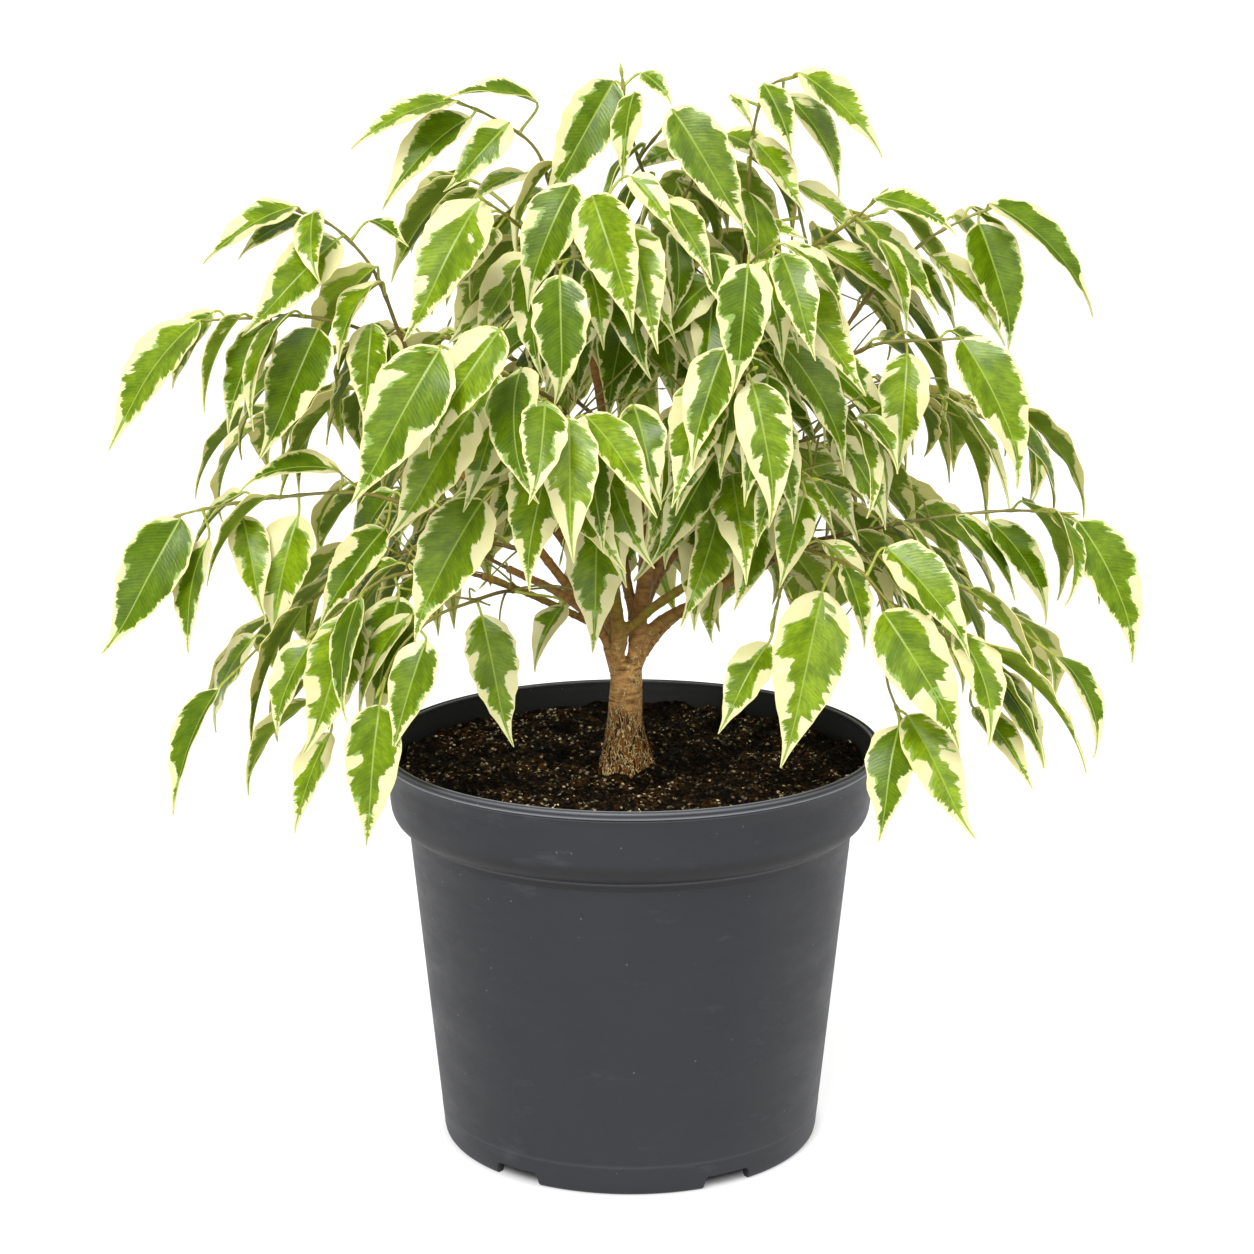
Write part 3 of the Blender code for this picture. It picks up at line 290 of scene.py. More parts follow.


# Polypropylene, moulded: a matte, faintly pebbled skin with rubbed patches and specks of dust, with painted
# highlights along its edges and painted shade on its inside wall.
polypropylene, tree, shader = new_finish("polypropylene_moulded", {"IOR": 1.49, "Specular IOR Level": 0.42})
place = add(tree, "TexCoord").outputs["Object"]
cloudy = add(tree, "TexNoise", {"Vector": place, "Scale": 1 / (POT_CLOUD * MM), "Detail": 4.0,
                                "Roughness": 0.6})
fine = add(tree, "TexNoise", {"Vector": place, "Scale": 1 / (POT_GRAIN * MM), "Detail": 2.0})
drawn_out = add(tree, "Mapping", {"Vector": place, "Scale": (1.0, 1.0, 3.0)})
rubbed = add(tree, "TexNoise", {"Vector": drawn_out, "Scale": 1 / (POT_SCUFF_LENGTH * MM), "Detail": 8.0,
                                "Roughness": 0.72})
scuffed = add(tree, "MapRange", {"Value": rubbed, "From Min": 0.58, "From Max": 0.85, "To Max": 0.28})
cells = add(tree, "TexVoronoi", {"Vector": place, "Scale": 1 / (POT_SPECK_SPACING * MM)})
speck = add(tree, "MapRange", {"Value": cells, "From Min": 0.035, "From Max": 0.06, "To Min": 0.55,
                               "To Max": 0.0})
# Painted highlight: pale lines along the lip, the band's foot and the mould line, broken up by the scuff
# noise.
edge_highlight = add(tree, "Attribute", attribute_name="edge_highlight").outputs["Fac"]
edge_highlight = add(tree, "Math", {0: edge_highlight, 1: add(tree, "MapRange", {"Value": rubbed, "To Min": 0.5})},
              operation="MULTIPLY")
# Painted shade: the inside wall above the floor is darkened nearly to black.
inner_shade = add(tree, "Attribute", attribute_name="inner_shade").outputs["Fac"]
inner_shade = add(tree, "Math", {0: inner_shade, 1: 0.8}, operation="MULTIPLY")
colour = add(tree, "Mix", {"Factor": cloudy, "A": linear(POT_GREY), "B": linear(POT_LIGHT_GREY)},
             data_type="RGBA")
for share, coat in ((scuffed, POT_SCUFF), (speck, POT_SCUFF), (edge_highlight, POT_EDGE_HIGHLIGHT), (inner_shade, POT_INNER_SHADE)):
    colour = add(tree, "Mix", {"Factor": share, "A": colour, "B": linear(coat)}, data_type="RGBA")
dull = add(tree, "MapRange", {"Value": rubbed, "From Min": 0.3, "From Max": 0.7, "To Min": 0.44,
                              "To Max": 0.6})
pebbled = add(tree, "Bump", {"Height": fine, "Strength": 0.35, "Distance": POT_GRAIN_DEPTH * MM})
wire(shader, {"Base Color": colour, "Roughness": dull, "Normal": pebbled})

pot = turned_pot()
cutters = notch_cutters()
cut = pot.modifiers.new("notches", "BOOLEAN")
cut.operation = "DIFFERENCE"
cut.object = cutters
pot_mesh = applied(pot)
bpy.data.objects.remove(cutters)
face_out(pot_mesh, POT_SHARP)
paint_pot_highlights_and_shade(pot_mesh)
nursery_pot = show("nursery_pot", pot_mesh, [polypropylene])
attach(nursery_pot, "root")
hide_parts("pot")


# The potting mix is peat with bark crumbs and coconut fibre, watered and settled below the lip. It is
# a little higher at the back, uneven in gentle lumps, and full of crumbs that lie loose on top.
SOIL_HEIGHT = 143.5
SOIL_RISE = 0.022
SOIL_BUMP = 1.3
SOIL_RADIUS = 89.1
SOIL_INNER_RADIUS = 8.0
SOIL_RING = 1.0
SOIL_SIDES = 360
SOIL_BOTTOM = 5.2
SOIL_GAP = 0.8
STEM_HOLE_BOTTOM = 84.0
CLOD = 8.5
CLOD_HEIGHT = 4.0
CRUMB = 2.1
CRUMB_HEIGHT = 1.5
ROUGHNESS_SIZE = 1.1
ROUGHNESS_HEIGHT = 0.3
SOIL_SHARP = 25
MIX_SEED = 5
LOOSE_CRUMBS = 5200
LOOSE_CRUMB_SIZES = (0.26, 0.95)
# How long, wide and high a loose crumb is for its size, how far it leans, and how uneven it is.
CRUMB_STRETCHES = ((0.7, 1.9), (0.5, 1.0), (0.35, 0.8))
CRUMB_LEAN = 0.7
CRUMB_ROUGHNESS = 0.8
PALE_CRUMB_SIZE = 0.5
FIBRES = 60
FIBRE_LENGTHS = (3.0, 8.0)
FIBRE_POINTS = 7
FIBRE_SIDES = 5
FIBRE_RADII = (0.1, 0.2)
FIBRE_LIFTS = (0.1, 0.6)
FIBRE_BEND = 0.14
GRAIN = 1.5
PATCH = 15.0
FLAKE = 1.35
PEAT = "#040201"
PEAT_BROWN = "#553815"
PEAT_TAN = "#ffe8bc"
FOOT_OF_TRUNK = Vector((-2.0, 0.0, 0.0))
UP = Vector((0, 0, 1))
ACROSS = Vector((1, 0, 0))


def relief(x, y):
    """How far the clods and crumbs stand above the level of the potting mix, or the hollows below it."""
    clod = noise.voronoi(Vector((x, y, 3)) / CLOD)[0][0]
    crumb = noise.voronoi(Vector((x, y, 9)) / CRUMB)[0][0]
    fine = noise.noise(Vector((x, y, 0)) / ROUGHNESS_SIZE)
    return CLOD_HEIGHT * (0.45 - clod) + CRUMB_HEIGHT * (0.45 - crumb) + ROUGHNESS_HEIGHT * fine


def soil_top(x, y):
    """The height of the potting mix, with its clods and crumbs."""
    lump = math.sin(0.11 * x + 1.3) * math.cos(0.13 * y) + 0.6 * math.sin(0.21 * x - 0.17 * y)
    return SOIL_HEIGHT + SOIL_RISE * y + SOIL_BUMP * lump + relief(x, y)


Shell = namedtuple("Shell", "corners faces")


def square_off(vector, axis):
    """The part of a vector that is square to an axis, at unit length."""
    return (vector - axis * vector.dot(axis)).normalized()


def transported(points):
    """For each point of a route: its direction, and two more square to it that turn as little as can be."""
    frames = []
    side = None
    for i, point in enumerate(points):
        along = (points[min(i + 1, len(points) - 1)] - points[max(i - 1, 0)]).normalized()
        if side is None:
            side = along.cross(UP if abs(along.z) < 0.9 else ACROSS)
        side = square_off(side, along)
        frames.append((along, side, along.cross(side)))
    return frames


def tube(points, radii, sides):
    """A closed round tube along a route, with a fan at each end."""
    corners, faces = [], []
    for i, (point, radius, (_, side, over)) in enumerate(zip(points, radii, transported(points))):
        for k in range(sides):
            angle = math.tau * k / sides
            corners.append(point + radius * (math.cos(angle) * side + math.sin(angle) * over))
        if i:
            faces += ring_faces((i - 1) * sides, sides)
    last = len(corners) - sides
    corners += [points[0].copy(), points[-1].copy()]
    faces += [((k + 1) % sides, k, last + sides) for k in range(sides)]
    faces += [(last + k, last + (k + 1) % sides, last + sides + 1) for k in range(sides)]
    return Shell(corners, faces)


def soil_block():
    """The block of potting mix: its rough top, its side against the pot, and the hole for the trunk."""
    rings = [(SOIL_INNER_RADIUS, STEM_HOLE_BOTTOM)]
    rings += [(radius, None) for radius in np.arange(SOIL_INNER_RADIUS, SOIL_RADIUS, SOIL_RING)]
    rings += [(SOIL_RADIUS, None), (SOIL_RADIUS, BAND_SIDE_FOOT + WALL),
              (BAND_ROUND_RADIUS - WALL - 0.9, BAND_FOOT + 4.4),
              (wall_radius(BAND_FOOT) - WALL - SOIL_GAP, 126.0),
              (wall_radius(8.0) - WALL - SOIL_GAP, 8.0), (wall_radius(SOIL_BOTTOM) - WALL - 4, SOIL_BOTTOM)]
    corners, faces = [], []
    for row, (radius, height) in enumerate(rings):
        for k in range(SOIL_SIDES):
            angle = math.tau * k / SOIL_SIDES
            x = radius * math.cos(angle) + FOOT_OF_TRUNK.x * (1 - radius / SOIL_RADIUS)
            y = radius * math.sin(angle)
            corners.append((x, y, soil_top(x, y) if height is None else height))
        if row:
            faces += [(a, d, c, b) for a, b, c, d in ring_faces((row - 1) * SOIL_SIDES, SOIL_SIDES)]
    last = len(corners) - SOIL_SIDES
    corners += [(FOOT_OF_TRUNK.x, 0, STEM_HOLE_BOTTOM), (0, 0, SOIL_BOTTOM)]
    for k in range(SOIL_SIDES):
        j = (k + 1) % SOIL_SIDES
        faces += [(k, j, len(corners) - 2), (last + j, last + k, len(corners) - 1)]
    return Shell([Vector(corner) for corner in corners], faces)


def place_on_mix(draw, radius, shares):
    """A place drawn evenly over a disc of the mix, between two shares of its area."""
    reach = radius * math.sqrt(draw.uniform(*shares))
    angle = draw.uniform(0, math.tau)
    return reach * math.cos(angle), reach * math.sin(angle)


def loose_crumbs(draw):
    """Angular crumbs that lie half sunk on the potting mix, each with its own tone."""
    ball = bmesh.new()
    bmesh.ops.create_icosphere(ball, subdivisions=1, radius=1)
    ball_corners = [corner.co.copy() for corner in ball.verts]
    ball_faces = [tuple(corner.index for corner in face.verts) for face in ball.faces]
    ball.free()
    for _ in range(LOOSE_CRUMBS):
        x, y = place_on_mix(draw, SOIL_RADIUS, (0.02, 0.95))
        smallest, largest = LOOSE_CRUMB_SIZES
        size = smallest + (largest - smallest) * draw.random() ** 2
        stretch = Vector([draw.uniform(*shares) for shares in CRUMB_STRETCHES]) * size
        turn = Matrix.Rotation(draw.uniform(0, math.tau), 3, "Z")
        turn = turn @ Matrix.Rotation(draw.uniform(-CRUMB_LEAN, CRUMB_LEAN), 3, "X")
        middle = Vector((x, y, soil_top(x, y) + 0.15 * size))
        seed = Vector((draw.uniform(0, 90), 0, 0))
        corners = []
        for corner in ball_corners:
            rough = 1 + CRUMB_ROUGHNESS * noise.noise(corner * 1.7 + seed)
            corners.append(middle + turn @ Vector([a * b * rough for a, b in zip(corner, stretch)]))
        yield Shell(corners, ball_faces), draw.random() ** 0.8 * min(1, PALE_CRUMB_SIZE / size)


def fibres(draw):
    """Coconut fibres and rootlets that lie on the potting mix."""
    for _ in range(FIBRES):
        x, y = place_on_mix(draw, SOIL_RADIUS - max(FIBRE_LENGTHS), (0.03, 1))
        heading = draw.uniform(0, math.tau)
        bend = draw.uniform(-FIBRE_BEND, FIBRE_BEND)
        last = FIBRE_POINTS - 1
        step = draw.uniform(*FIBRE_LENGTHS) / last
        lift = draw.uniform(*FIBRE_LIFTS)
        points = []
        for i in range(FIBRE_POINTS):
            points.append(Vector((x, y, soil_top(x, y) + lift + 0.5 * math.sin(math.pi * i / last))))
            x += step * math.cos(heading)
            y += step * math.sin(heading)
            heading += bend
        if all(math.hypot(point.x, point.y) < SOIL_RADIUS - 1 for point in points):
            radius = draw.uniform(*FIBRE_RADII)
            radii = [radius * (1 - 0.09 * i) for i in range(FIBRE_POINTS)]
            yield tube(points, radii, FIBRE_SIDES), draw.uniform(0.2, 0.6)


def joined(name, shells, tones=None, sharp=50):
    """One mesh from closed shells, with a tone for each of them where they have one."""
    corners, faces, shades = [], [], []
    for number, shell in enumerate(shells):
        start = len(corners)
        corners += [corner * MM for corner in shell.corners]
        faces += [tuple(start + i for i in face) for face in shell.faces]
        shades += [tones[number] if tones else 0.0] * len(shell.corners)
    mesh = bpy.data.meshes.new(name)
    mesh.from_pydata(corners, [], faces)
    if tones:
        mark(mesh, "tone", shades)
    mesh.shade_smooth()
    mesh.set_sharp_from_angle(angle=math.radians(sharp))
    return mesh


# Peat, loose and damp: brown and tan flakes that glint where they are wet, and black in its hollows, where
# painted shade takes the flakes out.
peat, tree, shader = new_finish("peat_loose", {"IOR": 1.4, "Specular IOR Level": 0.12})
place = add(tree, "TexCoord").outputs["Object"]
own_tone = add(tree, "Attribute", attribute_name="tone").outputs["Fac"]
height = add(tree, "Attribute", attribute_name="relief").outputs["Fac"]
grains = add(tree, "TexNoise", {"Vector": place, "Scale": 1 / (GRAIN * MM), "Detail": 4.0,
                                "Roughness": 0.7})
patches = add(tree, "TexNoise", {"Vector": place, "Scale": 1 / (PATCH * MM), "Detail": 3.0,
                                 "Roughness": 0.65})
flakes = add(tree, "TexVoronoi", {"Vector": place, "Scale": 1 / (FLAKE * MM)})
kinds = add(tree, "SeparateColor", {"Color": flakes.outputs["Color"]})
# Painted shade: the brown and tan flakes fade out where the mix lies low, so its hollows are painted black.
painted_light_by_height = add(tree, "MapRange", {"Value": height, "From Min": -1.2, "From Max": 0.9, "To Min": 0.12})
litter = add(tree, "MapRange", {"Value": patches, "From Min": 0.42, "From Max": 0.56, "To Min": 0.12})
litter_and_painted_shade = add(tree, "Math", {0: painted_light_by_height, 1: litter}, operation="MULTIPLY")
lit = add(tree, "MapRange", {"Value": litter, "To Min": 0.45})
tone = add(tree, "Math", {0: own_tone, 1: lit}, operation="MULTIPLY")
brown = add(tree, "MapRange", {"Value": kinds.outputs["Red"], "From Min": 0.4, "From Max": 0.9})
brown = add(tree, "Math", {0: brown, 1: litter_and_painted_shade}, operation="MULTIPLY")
brown = add(tree, "Math", {0: brown, 1: tone}, operation="MAXIMUM")
pale = add(tree, "MapRange", {"Value": kinds.outputs["Green"], "From Min": 0.86, "From Max": 0.9})
pale = add(tree, "Math", {0: pale, 1: litter_and_painted_shade}, operation="MULTIPLY")
edges = add(tree, "MapRange", {"Value": flakes.outputs["Distance"], "From Min": 0.3, "From Max": 0.62,
                               "To Min": 1.0, "To Max": 0.15})
pale = add(tree, "Math", {0: pale, 1: edges}, operation="MULTIPLY")
pale_crumb = add(tree, "MapRange", {"Value": tone, "From Min": 0.68, "From Max": 0.78})
own = add(tree, "Math", {0: pale, 1: pale_crumb}, operation="MAXIMUM")
base = add(tree, "Mix", {"Factor": brown, "A": linear(PEAT), "B": linear(PEAT_BROWN)}, data_type="RGBA")
colour = add(tree, "Mix", {"Factor": own, "A": base, "B": linear(PEAT_TAN)}, data_type="RGBA")
damp = add(tree, "MapRange", {"Value": grains, "From Min": 0.35, "From Max": 0.65, "To Min": 0.4,
                              "To Max": 0.85})
humps = add(tree, "Math", {0: grains, 1: flakes.outputs["Distance"]}, operation="SUBTRACT")
crumbly = add(tree, "Bump", {"Height": humps, "Strength": 1.0, "Distance": 1.0 * MM})
wire(shader, {"Base Color": colour, "Roughness": damp, "Normal": crumbly})

draw = random.Random(MIX_SEED)
loose = list(loose_crumbs(draw)) + list(fibres(draw))
block = soil_block()
shells, tones = zip((block, 0.0), *loose)
mix_mesh = joined("potting_mix", shells, tones, SOIL_SHARP)
lifts = [relief(corner.x, corner.y) for corner in block.corners]
lifts += [0.0] * (len(mix_mesh.vertices) - len(lifts))
mark(mix_mesh, "relief", lifts)
potting_mix = show("potting_mix", mix_mesh, [peat])
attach(potting_mix, "root")
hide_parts("soil")


# The trunk and its limbs grew as one piece. The flared foot is covered with short upright ridges of
# cork, the stem above it is smoother and tan, and the limbs are thin-skinned and reddish brown.
EYE = Vector((-1.3, -1106.6, 462.0))
# The trunk as (across, up, behind, radius), from its foot in the soil to the fork.
TRUNK = (
    (-2, 84.4, 0, 8.0), (-2, 128, 0, 9.6), (-2, 143, 0, 10.5), (-2, 152, 0, 8.6), (-2, 164, 0, 6.6),
    (-1.6, 177, 0, 6.1), (-1.6, 186, 0, 5.9),
)
FLARE_LOBES = 5
FLARE_DEPTH = 0.12
FLARE_REACH = 10.0

# Each limb as its first and last radius and its route of (across, up, behind).
LIMBS = {
    "leader": (3.3, 1.8, ((0.5, 178, 0), (2, 188, 0.5), (2.7, 195, 1), (3.3, 201, 1), (6, 221, 3),
                          (8, 232, 4), (14, 249, 5), (18, 276, 6), (21, 304, 8), (20, 328, 8))),
    "front": (2.8, 1.5, ((-4, 178, -1), (-4.8, 190, -3.5), (-4.7, 199, -5.5), (-6, 210, -10), (-8, 226, -20),
                         (-14, 252, -42), (-20, 274, -60))),
    "left_low": (2.0, 1.4, ((-5, 178, 1), (-7.6, 187, 1), (-9.4, 194, 0), (-14.4, 200.5, -2), (-20, 209, -4),
                            (-28, 220, -6), (-44, 240, -8), (-62, 256, -8), (-74, 280, -8), (-81, 300, -8))),
    "left_side": (1.5, 1.3, ((-13, 199, -1), (-27, 206, -12), (-40, 212, -24), (-56, 218, -34))),
    "right_green": (2.0, 1.5, ((-3.5, 190, -2.5), (-2, 197, -4.5), (3, 200.8, -6.5), (8, 205.5, -9),
                               (21, 214.5, -20), (33, 223, -34), (47, 235, -52))),
    "right_low": (2.7, 1.5, ((2, 183, 1), (5, 192, 2), (8, 197, 3), (14, 202, 3), (27, 209, 3), (48, 224, 3),
                             (70, 232, 2))),
    "inner_left": (2.2, 1.5, ((1.5, 189, 3), (1, 204, 5), (-1.5, 216, 8), (-5, 240, 12), (-9, 270, 14),
                              (-14, 300, 12), (-22, 327, 8))),
    "inner_right": (2.2, 1.5, ((3, 196, 2), (6, 212, 5), (12, 226, 9), (22, 250, 14), (32, 280, 16),
                               (38, 307, 14))),
    "right_arch": (1.6, 1.4, ((20, 244, 13), (34, 266, 10), (52, 286, 4), (73, 302, 0))),
    "back_left": (2.4, 1.5, ((-5, 185, 3), (-8, 200, 10), (-16, 218, 24), (-36, 246, 46), (-58, 268, 62))),
    "back_right": (2.4, 1.5, ((3, 187, 3), (5, 205, 12), (15, 225, 26), (40, 248, 46), (62, 268, 62))),
    "back_mid": (2.4, 1.5, ((2, 187, 3), (4, 205, 14), (6, 224, 26), (4, 258, 50), (-3, 288, 70))),
    "back_low_left": (2.2, 1.5, ((-5, 185, 3), (-12, 199, 20), (-26, 211, 36), (-46, 221, 54))),
    "back_low_right": (2.2, 1.5, ((3, 186, 4), (14, 200, 20), (30, 211, 36), (51, 222, 54))),
}
TRUNK_STEP = 2.0
TRUNK_SIDES = 28
LIMB_SIDES = 16
BARK_VOXEL = 0.7
FLARE_TOP = 156.0
FORK_FOOT = 184.0
FORK_TOP = 202.0
CORK_FADE = 6.0
CORK_DEPTH = 0.6
STEM_DEPTH = 0.22
CORK_RIDGE = 1.25
CORK_RIDGE_LENGTH = 2.4
RING_SPACING = 1.5
RING_LENGTH = 4
SCAR_SPACING = 8.5
SCAR_HEIGHT = 0.22
SCAR_WIDTH = 0.55
SCARRED_RADIUS = 4.0
RIDGE_STEEPNESS = 5
RIDGE_LEVEL = 0.6
# Wood of this radius has its full relief. Thinner wood is smoother.
ROUGH_RADIUS = 6
# How far below the top of the flare the cork's colour begins and is full, how far this edge wanders, and
# the size of the patches that it wanders with.
CORK_EDGE = (2, 10)
CORK_EDGE_WANDER = 34
WEATHERED_PATCH = 6.25
# The width and the length along the grain of the cork's ridges and of the wrinkles in thinner bark.
RIDGE_SIZE = (1.35, 3.4)
WRINKLE_SIZE = (4, 1.1)
CORK_OCHRE = "#85541f"
CORK_CREVICE = "#3c200c"
CORK_PALE = "#ffe6a8"
STEM_TAN = "#dba765"
STEM_BROWN = "#6c451e"
LIMB_BROWN = "#65401c"
LIMB_TAN = "#8f6534"
LIMB_GREEN = "#7f7d26"
# How green the skin of each young limb still is.
LIMB_YOUTH = {"right_green": 0.85, "front": 0.5, "right_low": 0.3, "left_side": 0.45, "right_arch": 0.4}
FINE_STEP = 3.0


def seen(across, up, behind):
    """The point that the eye sees at (across, up) in the pot's middle plane, this far behind it."""
    reach = 1 - behind / EYE.y
    return Vector((EYE.x + (across - EYE.x) * reach, behind, EYE.z + (up - EYE.z) * reach))


def smooth(points, step):
    """Points about one step apart on the smooth curve through the route's own points."""
    ends = [2 * points[0] - points[1]] + list(points) + [2 * points[-1] - points[-2]]
    curve = [points[0].copy()]
    for i in range(1, len(ends) - 2):
        before, start, end, after = ends[i - 1:i + 3]
        pieces = max(1, round((end - start).length / step))
        for j in range(1, pieces + 1):
            t = j / pieces
            curve.append(0.5 * (2 * start + (end - before) * t
                                + (2 * before - 5 * start + 4 * end - after) * t * t
                                + (3 * start - before - 3 * end + after) * t ** 3))
    return curve


def taper(first, last, count):
    """Radii that run evenly from the first to the last."""
    return [first + (last - first) * i / (count - 1) for i in range(count)]


Spot = namedtuple("Spot", "point radius run frame youth")


def wood_routes():
    """The route and radii of the trunk and of each limb, and how green its skin is."""
    places = [seen(across, up, behind) for across, up, behind, _ in TRUNK]
    points = smooth(places, TRUNK_STEP)
    heights = [place.z for place in places]
    radii = [float(np.interp(point.z, heights, [radius for *_, radius in TRUNK])) for point in points]
    routes = [(points, radii, 0.0)]
    for name, (first, last, route) in LIMBS.items():
        points = smooth([seen(*place) for place in route], FINE_STEP)
        routes.append((points, taper(first, last, len(points)), LIMB_YOUTH.get(name, 0.1)))
    return routes


def grown_wood(routes):
    """The trunk with its root flare and the limbs, blended into one skin."""
    shells = [tube(points, radii, LIMB_SIDES if number else TRUNK_SIDES)
              for number, (points, radii, _) in enumerate(routes)]
    foot = routes[0][0][0]
    for corner in shells[0].corners:
        out = Vector((corner.x - foot.x, corner.y))
        if corner.z < FLARE_TOP and out.length > 1:
            near_soil = math.exp(-((corner.z - SOIL_HEIGHT) / FLARE_REACH) ** 2)
            lobe = FLARE_DEPTH * math.cos(FLARE_LOBES * math.atan2(out.y, out.x)) * near_soil
            corner.x += out.x * lobe
            corner.y += out.y * lobe
    wood = show("grown_wood", joined("grown_wood", shells))
    skin = wood.modifiers.new("one skin", "REMESH")
    skin.mode = "VOXEL"
    skin.voxel_size = BARK_VOXEL * MM
    blend = wood.modifiers.new("blend", "SMOOTH")
    blend.factor = 0.5
    blend.iterations = 2
    return applied(wood)


def lay_bark(mesh, routes):
    """Gives the wood its ridges and rings, and each point its place in the grain and its girth."""
    spots = []
    for points, radii, youth in routes:
        run = 0.0
        for i, (point, radius, axes) in enumerate(zip(points, radii, transported(points))):
            run += (point - points[max(i - 1, 0)]).length
            spots.append(Spot(point, radius, run, axes, youth))
    finder = KDTree(len(spots))
    for i, spot in enumerate(spots):
        finder.insert(spot.point, i)
    finder.balance()
    grain, girth, youths, shifts = [], [], [], []
    for corner in mesh.vertices:
        place = corner.co / MM
        near = finder.find_n(place, 8)
        spot = spots[min(near, key=lambda found: found[2] - spots[found[1]].radius)[1]]
        off = place - spot.point
        along, side, over = spot.frame
        run = Vector((off.dot(side), off.dot(over), spot.run + off.dot(along)))
        corky = min(1, max(0, (FLARE_TOP - place.z) / CORK_FADE))
        grain_of_cork = Vector((run.x, run.y, run.z / CORK_RIDGE_LENGTH)) / CORK_RIDGE
        ridge = min(1, RIDGE_STEEPNESS * abs(noise.noise(grain_of_cork))) - RIDGE_LEVEL
        ring = noise.noise(Vector((run.x / RING_LENGTH, run.y / RING_LENGTH, run.z)) / RING_SPACING)
        depth = (STEM_DEPTH + (CORK_DEPTH - STEM_DEPTH) * corky) * min(1, spot.radius / ROUGH_RADIUS)
        from_scar = (run.z + 2 * spot.youth) % SCAR_SPACING - SCAR_SPACING / 2
        scar = SCAR_HEIGHT * math.exp(-(from_scar / SCAR_WIDTH) ** 2) if spot.radius < SCARRED_RADIUS else 0
        shifts.append(corner.normal * MM * (depth * (corky * ridge + (1 - corky) * ring) + scar))
        grain.extend(run)
        girth.append(spot.radius)
        youths.append(spot.youth)
    for corner, shift in zip(mesh.vertices, shifts):
        corner.co += shift
    for name, values in (("grain", grain), ("girth", girth), ("youth", youths)):
        mark(mesh, name, values)
    mesh.shade_smooth()


# Fig bark, grown: cork split by dark crevices at the foot, finely wrinkled above, thin-skinned on the limbs.
fig_bark, tree, shader = new_finish("fig_bark_grown", {"IOR": 1.45, "Specular IOR Level": 0.2})
grain = add(tree, "Attribute", attribute_name="grain").outputs["Vector"]
girth, youth = [add(tree, "Attribute", attribute_name=name).outputs["Fac"] for name in ("girth", "youth")]
height = add(tree, "SeparateXYZ", {"Vector": add(tree, "TexCoord").outputs["Object"]}).outputs["Z"]
weathered = add(tree, "TexNoise", {"Vector": grain, "Scale": 1 / WEATHERED_PATCH, "Detail": 2.0})
border = add(tree, "Math", {0: weathered, 1: -CORK_EDGE_WANDER * MM, 2: height}, operation="MULTIPLY_ADD")
corky = add(tree, "MapRange", {"Value": border, "From Min": (FLARE_TOP - CORK_EDGE[0]) * MM,
                               "From Max": (FLARE_TOP - CORK_EDGE[1]) * MM})
upright, level = [add(tree, "Mapping", {"Vector": grain, "Scale": (1 / wide, 1 / wide, 1 / long)})
                  for wide, long in (RIDGE_SIZE, WRINKLE_SIZE)]
ridges = add(tree, "TexNoise", {"Vector": upright, "Scale": 1.0, "Detail": 3.0, "Roughness": 0.5,
                                "Distortion": 0.7})
apart = add(tree, "Math", {0: ridges, 1: 0.5}, operation="SUBTRACT")
apart = add(tree, "Math", {0: apart}, operation="ABSOLUTE")
crest = add(tree, "MapRange", {"Value": apart, "From Min": 0.006, "From Max": 0.034, "To Min": 0.95,
                               "To Max": 0.0})
top = add(tree, "MapRange", {"Value": ridges, "From Min": 0.4, "From Max": 0.62})
wrinkles = add(tree, "TexNoise", {"Vector": level, "Scale": 1.0, "Detail": 4.0, "Roughness": 0.6})
fold = add(tree, "MapRange", {"Value": wrinkles, "From Min": 0.32, "From Max": 0.62})
streaked = add(tree, "MapRange", {"Value": weathered, "From Min": 0.44, "From Max": 0.58, "To Min": 0.15,
                                  "To Max": 0.85})
stem_top = add(tree, "Math", {0: crest, 1: streaked}, operation="MULTIPLY")
greening = add(tree, "MapRange", {"Value": weathered, "From Min": 0.3, "From Max": 0.6})
greening = add(tree, "Math", {0: greening, 1: youth}, operation="MULTIPLY")
skins = []
for patches, dark, pale, coating, coat in ((top, CORK_CREVICE, CORK_OCHRE, crest, CORK_PALE),
                                           (fold, STEM_BROWN, STEM_TAN, stem_top, CORK_PALE),
                                           (fold, LIMB_BROWN, LIMB_TAN, greening, LIMB_GREEN)):
    skin = add(tree, "Mix", {"Factor": patches, "A": linear(dark), "B": linear(pale)}, data_type="RGBA")
    skins.append(add(tree, "Mix", {"Factor": coating, "A": skin, "B": linear(coat)}, data_type="RGBA"))
cork, stem, limb = skins
trunk_colour = add(tree, "Mix", {"Factor": corky, "A": stem, "B": cork}, data_type="RGBA")
low = add(tree, "MapRange", {"Value": height, "From Min": FORK_TOP * MM, "From Max": FORK_FOOT * MM})
thick = add(tree, "MapRange", {"Value": girth, "From Min": 4.0, "From Max": 5.4})
thick = add(tree, "Math", {0: low, 1: thick}, operation="MAXIMUM")
colour = add(tree, "Mix", {"Factor": thick, "A": limb, "B": trunk_colour}, data_type="RGBA")
cracked = add(tree, "Math", {0: thick, 1: 0.8}, operation="MULTIPLY")
worn = add(tree, "Mix", {"Factor": cracked, "A": wrinkles, "B": crest}, data_type="FLOAT")
rough_bark = add(tree, "Bump", {"Height": worn, "Strength": 0.7, "Distance": 0.35 * MM})
dull = add(tree, "MapRange", {"Value": thick, "To Min": 0.5, "To Max": 0.72})
wire(shader, {"Base Color": colour, "Roughness": dull, "Normal": rough_bark})

routes = wood_routes()
wood_mesh = grown_wood(routes)
lay_bark(wood_mesh, routes)
trunk_and_limbs = show("trunk_and_limbs", wood_mesh, [fig_bark])
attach(trunk_and_limbs, "root")
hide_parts("trunk")


# The sprays are the young growth: thin green-brown twigs with a leaf at each joint, turned to the light
# and hanging by its petiole. The routes of the twigs and the places of the leaves follow the solids.

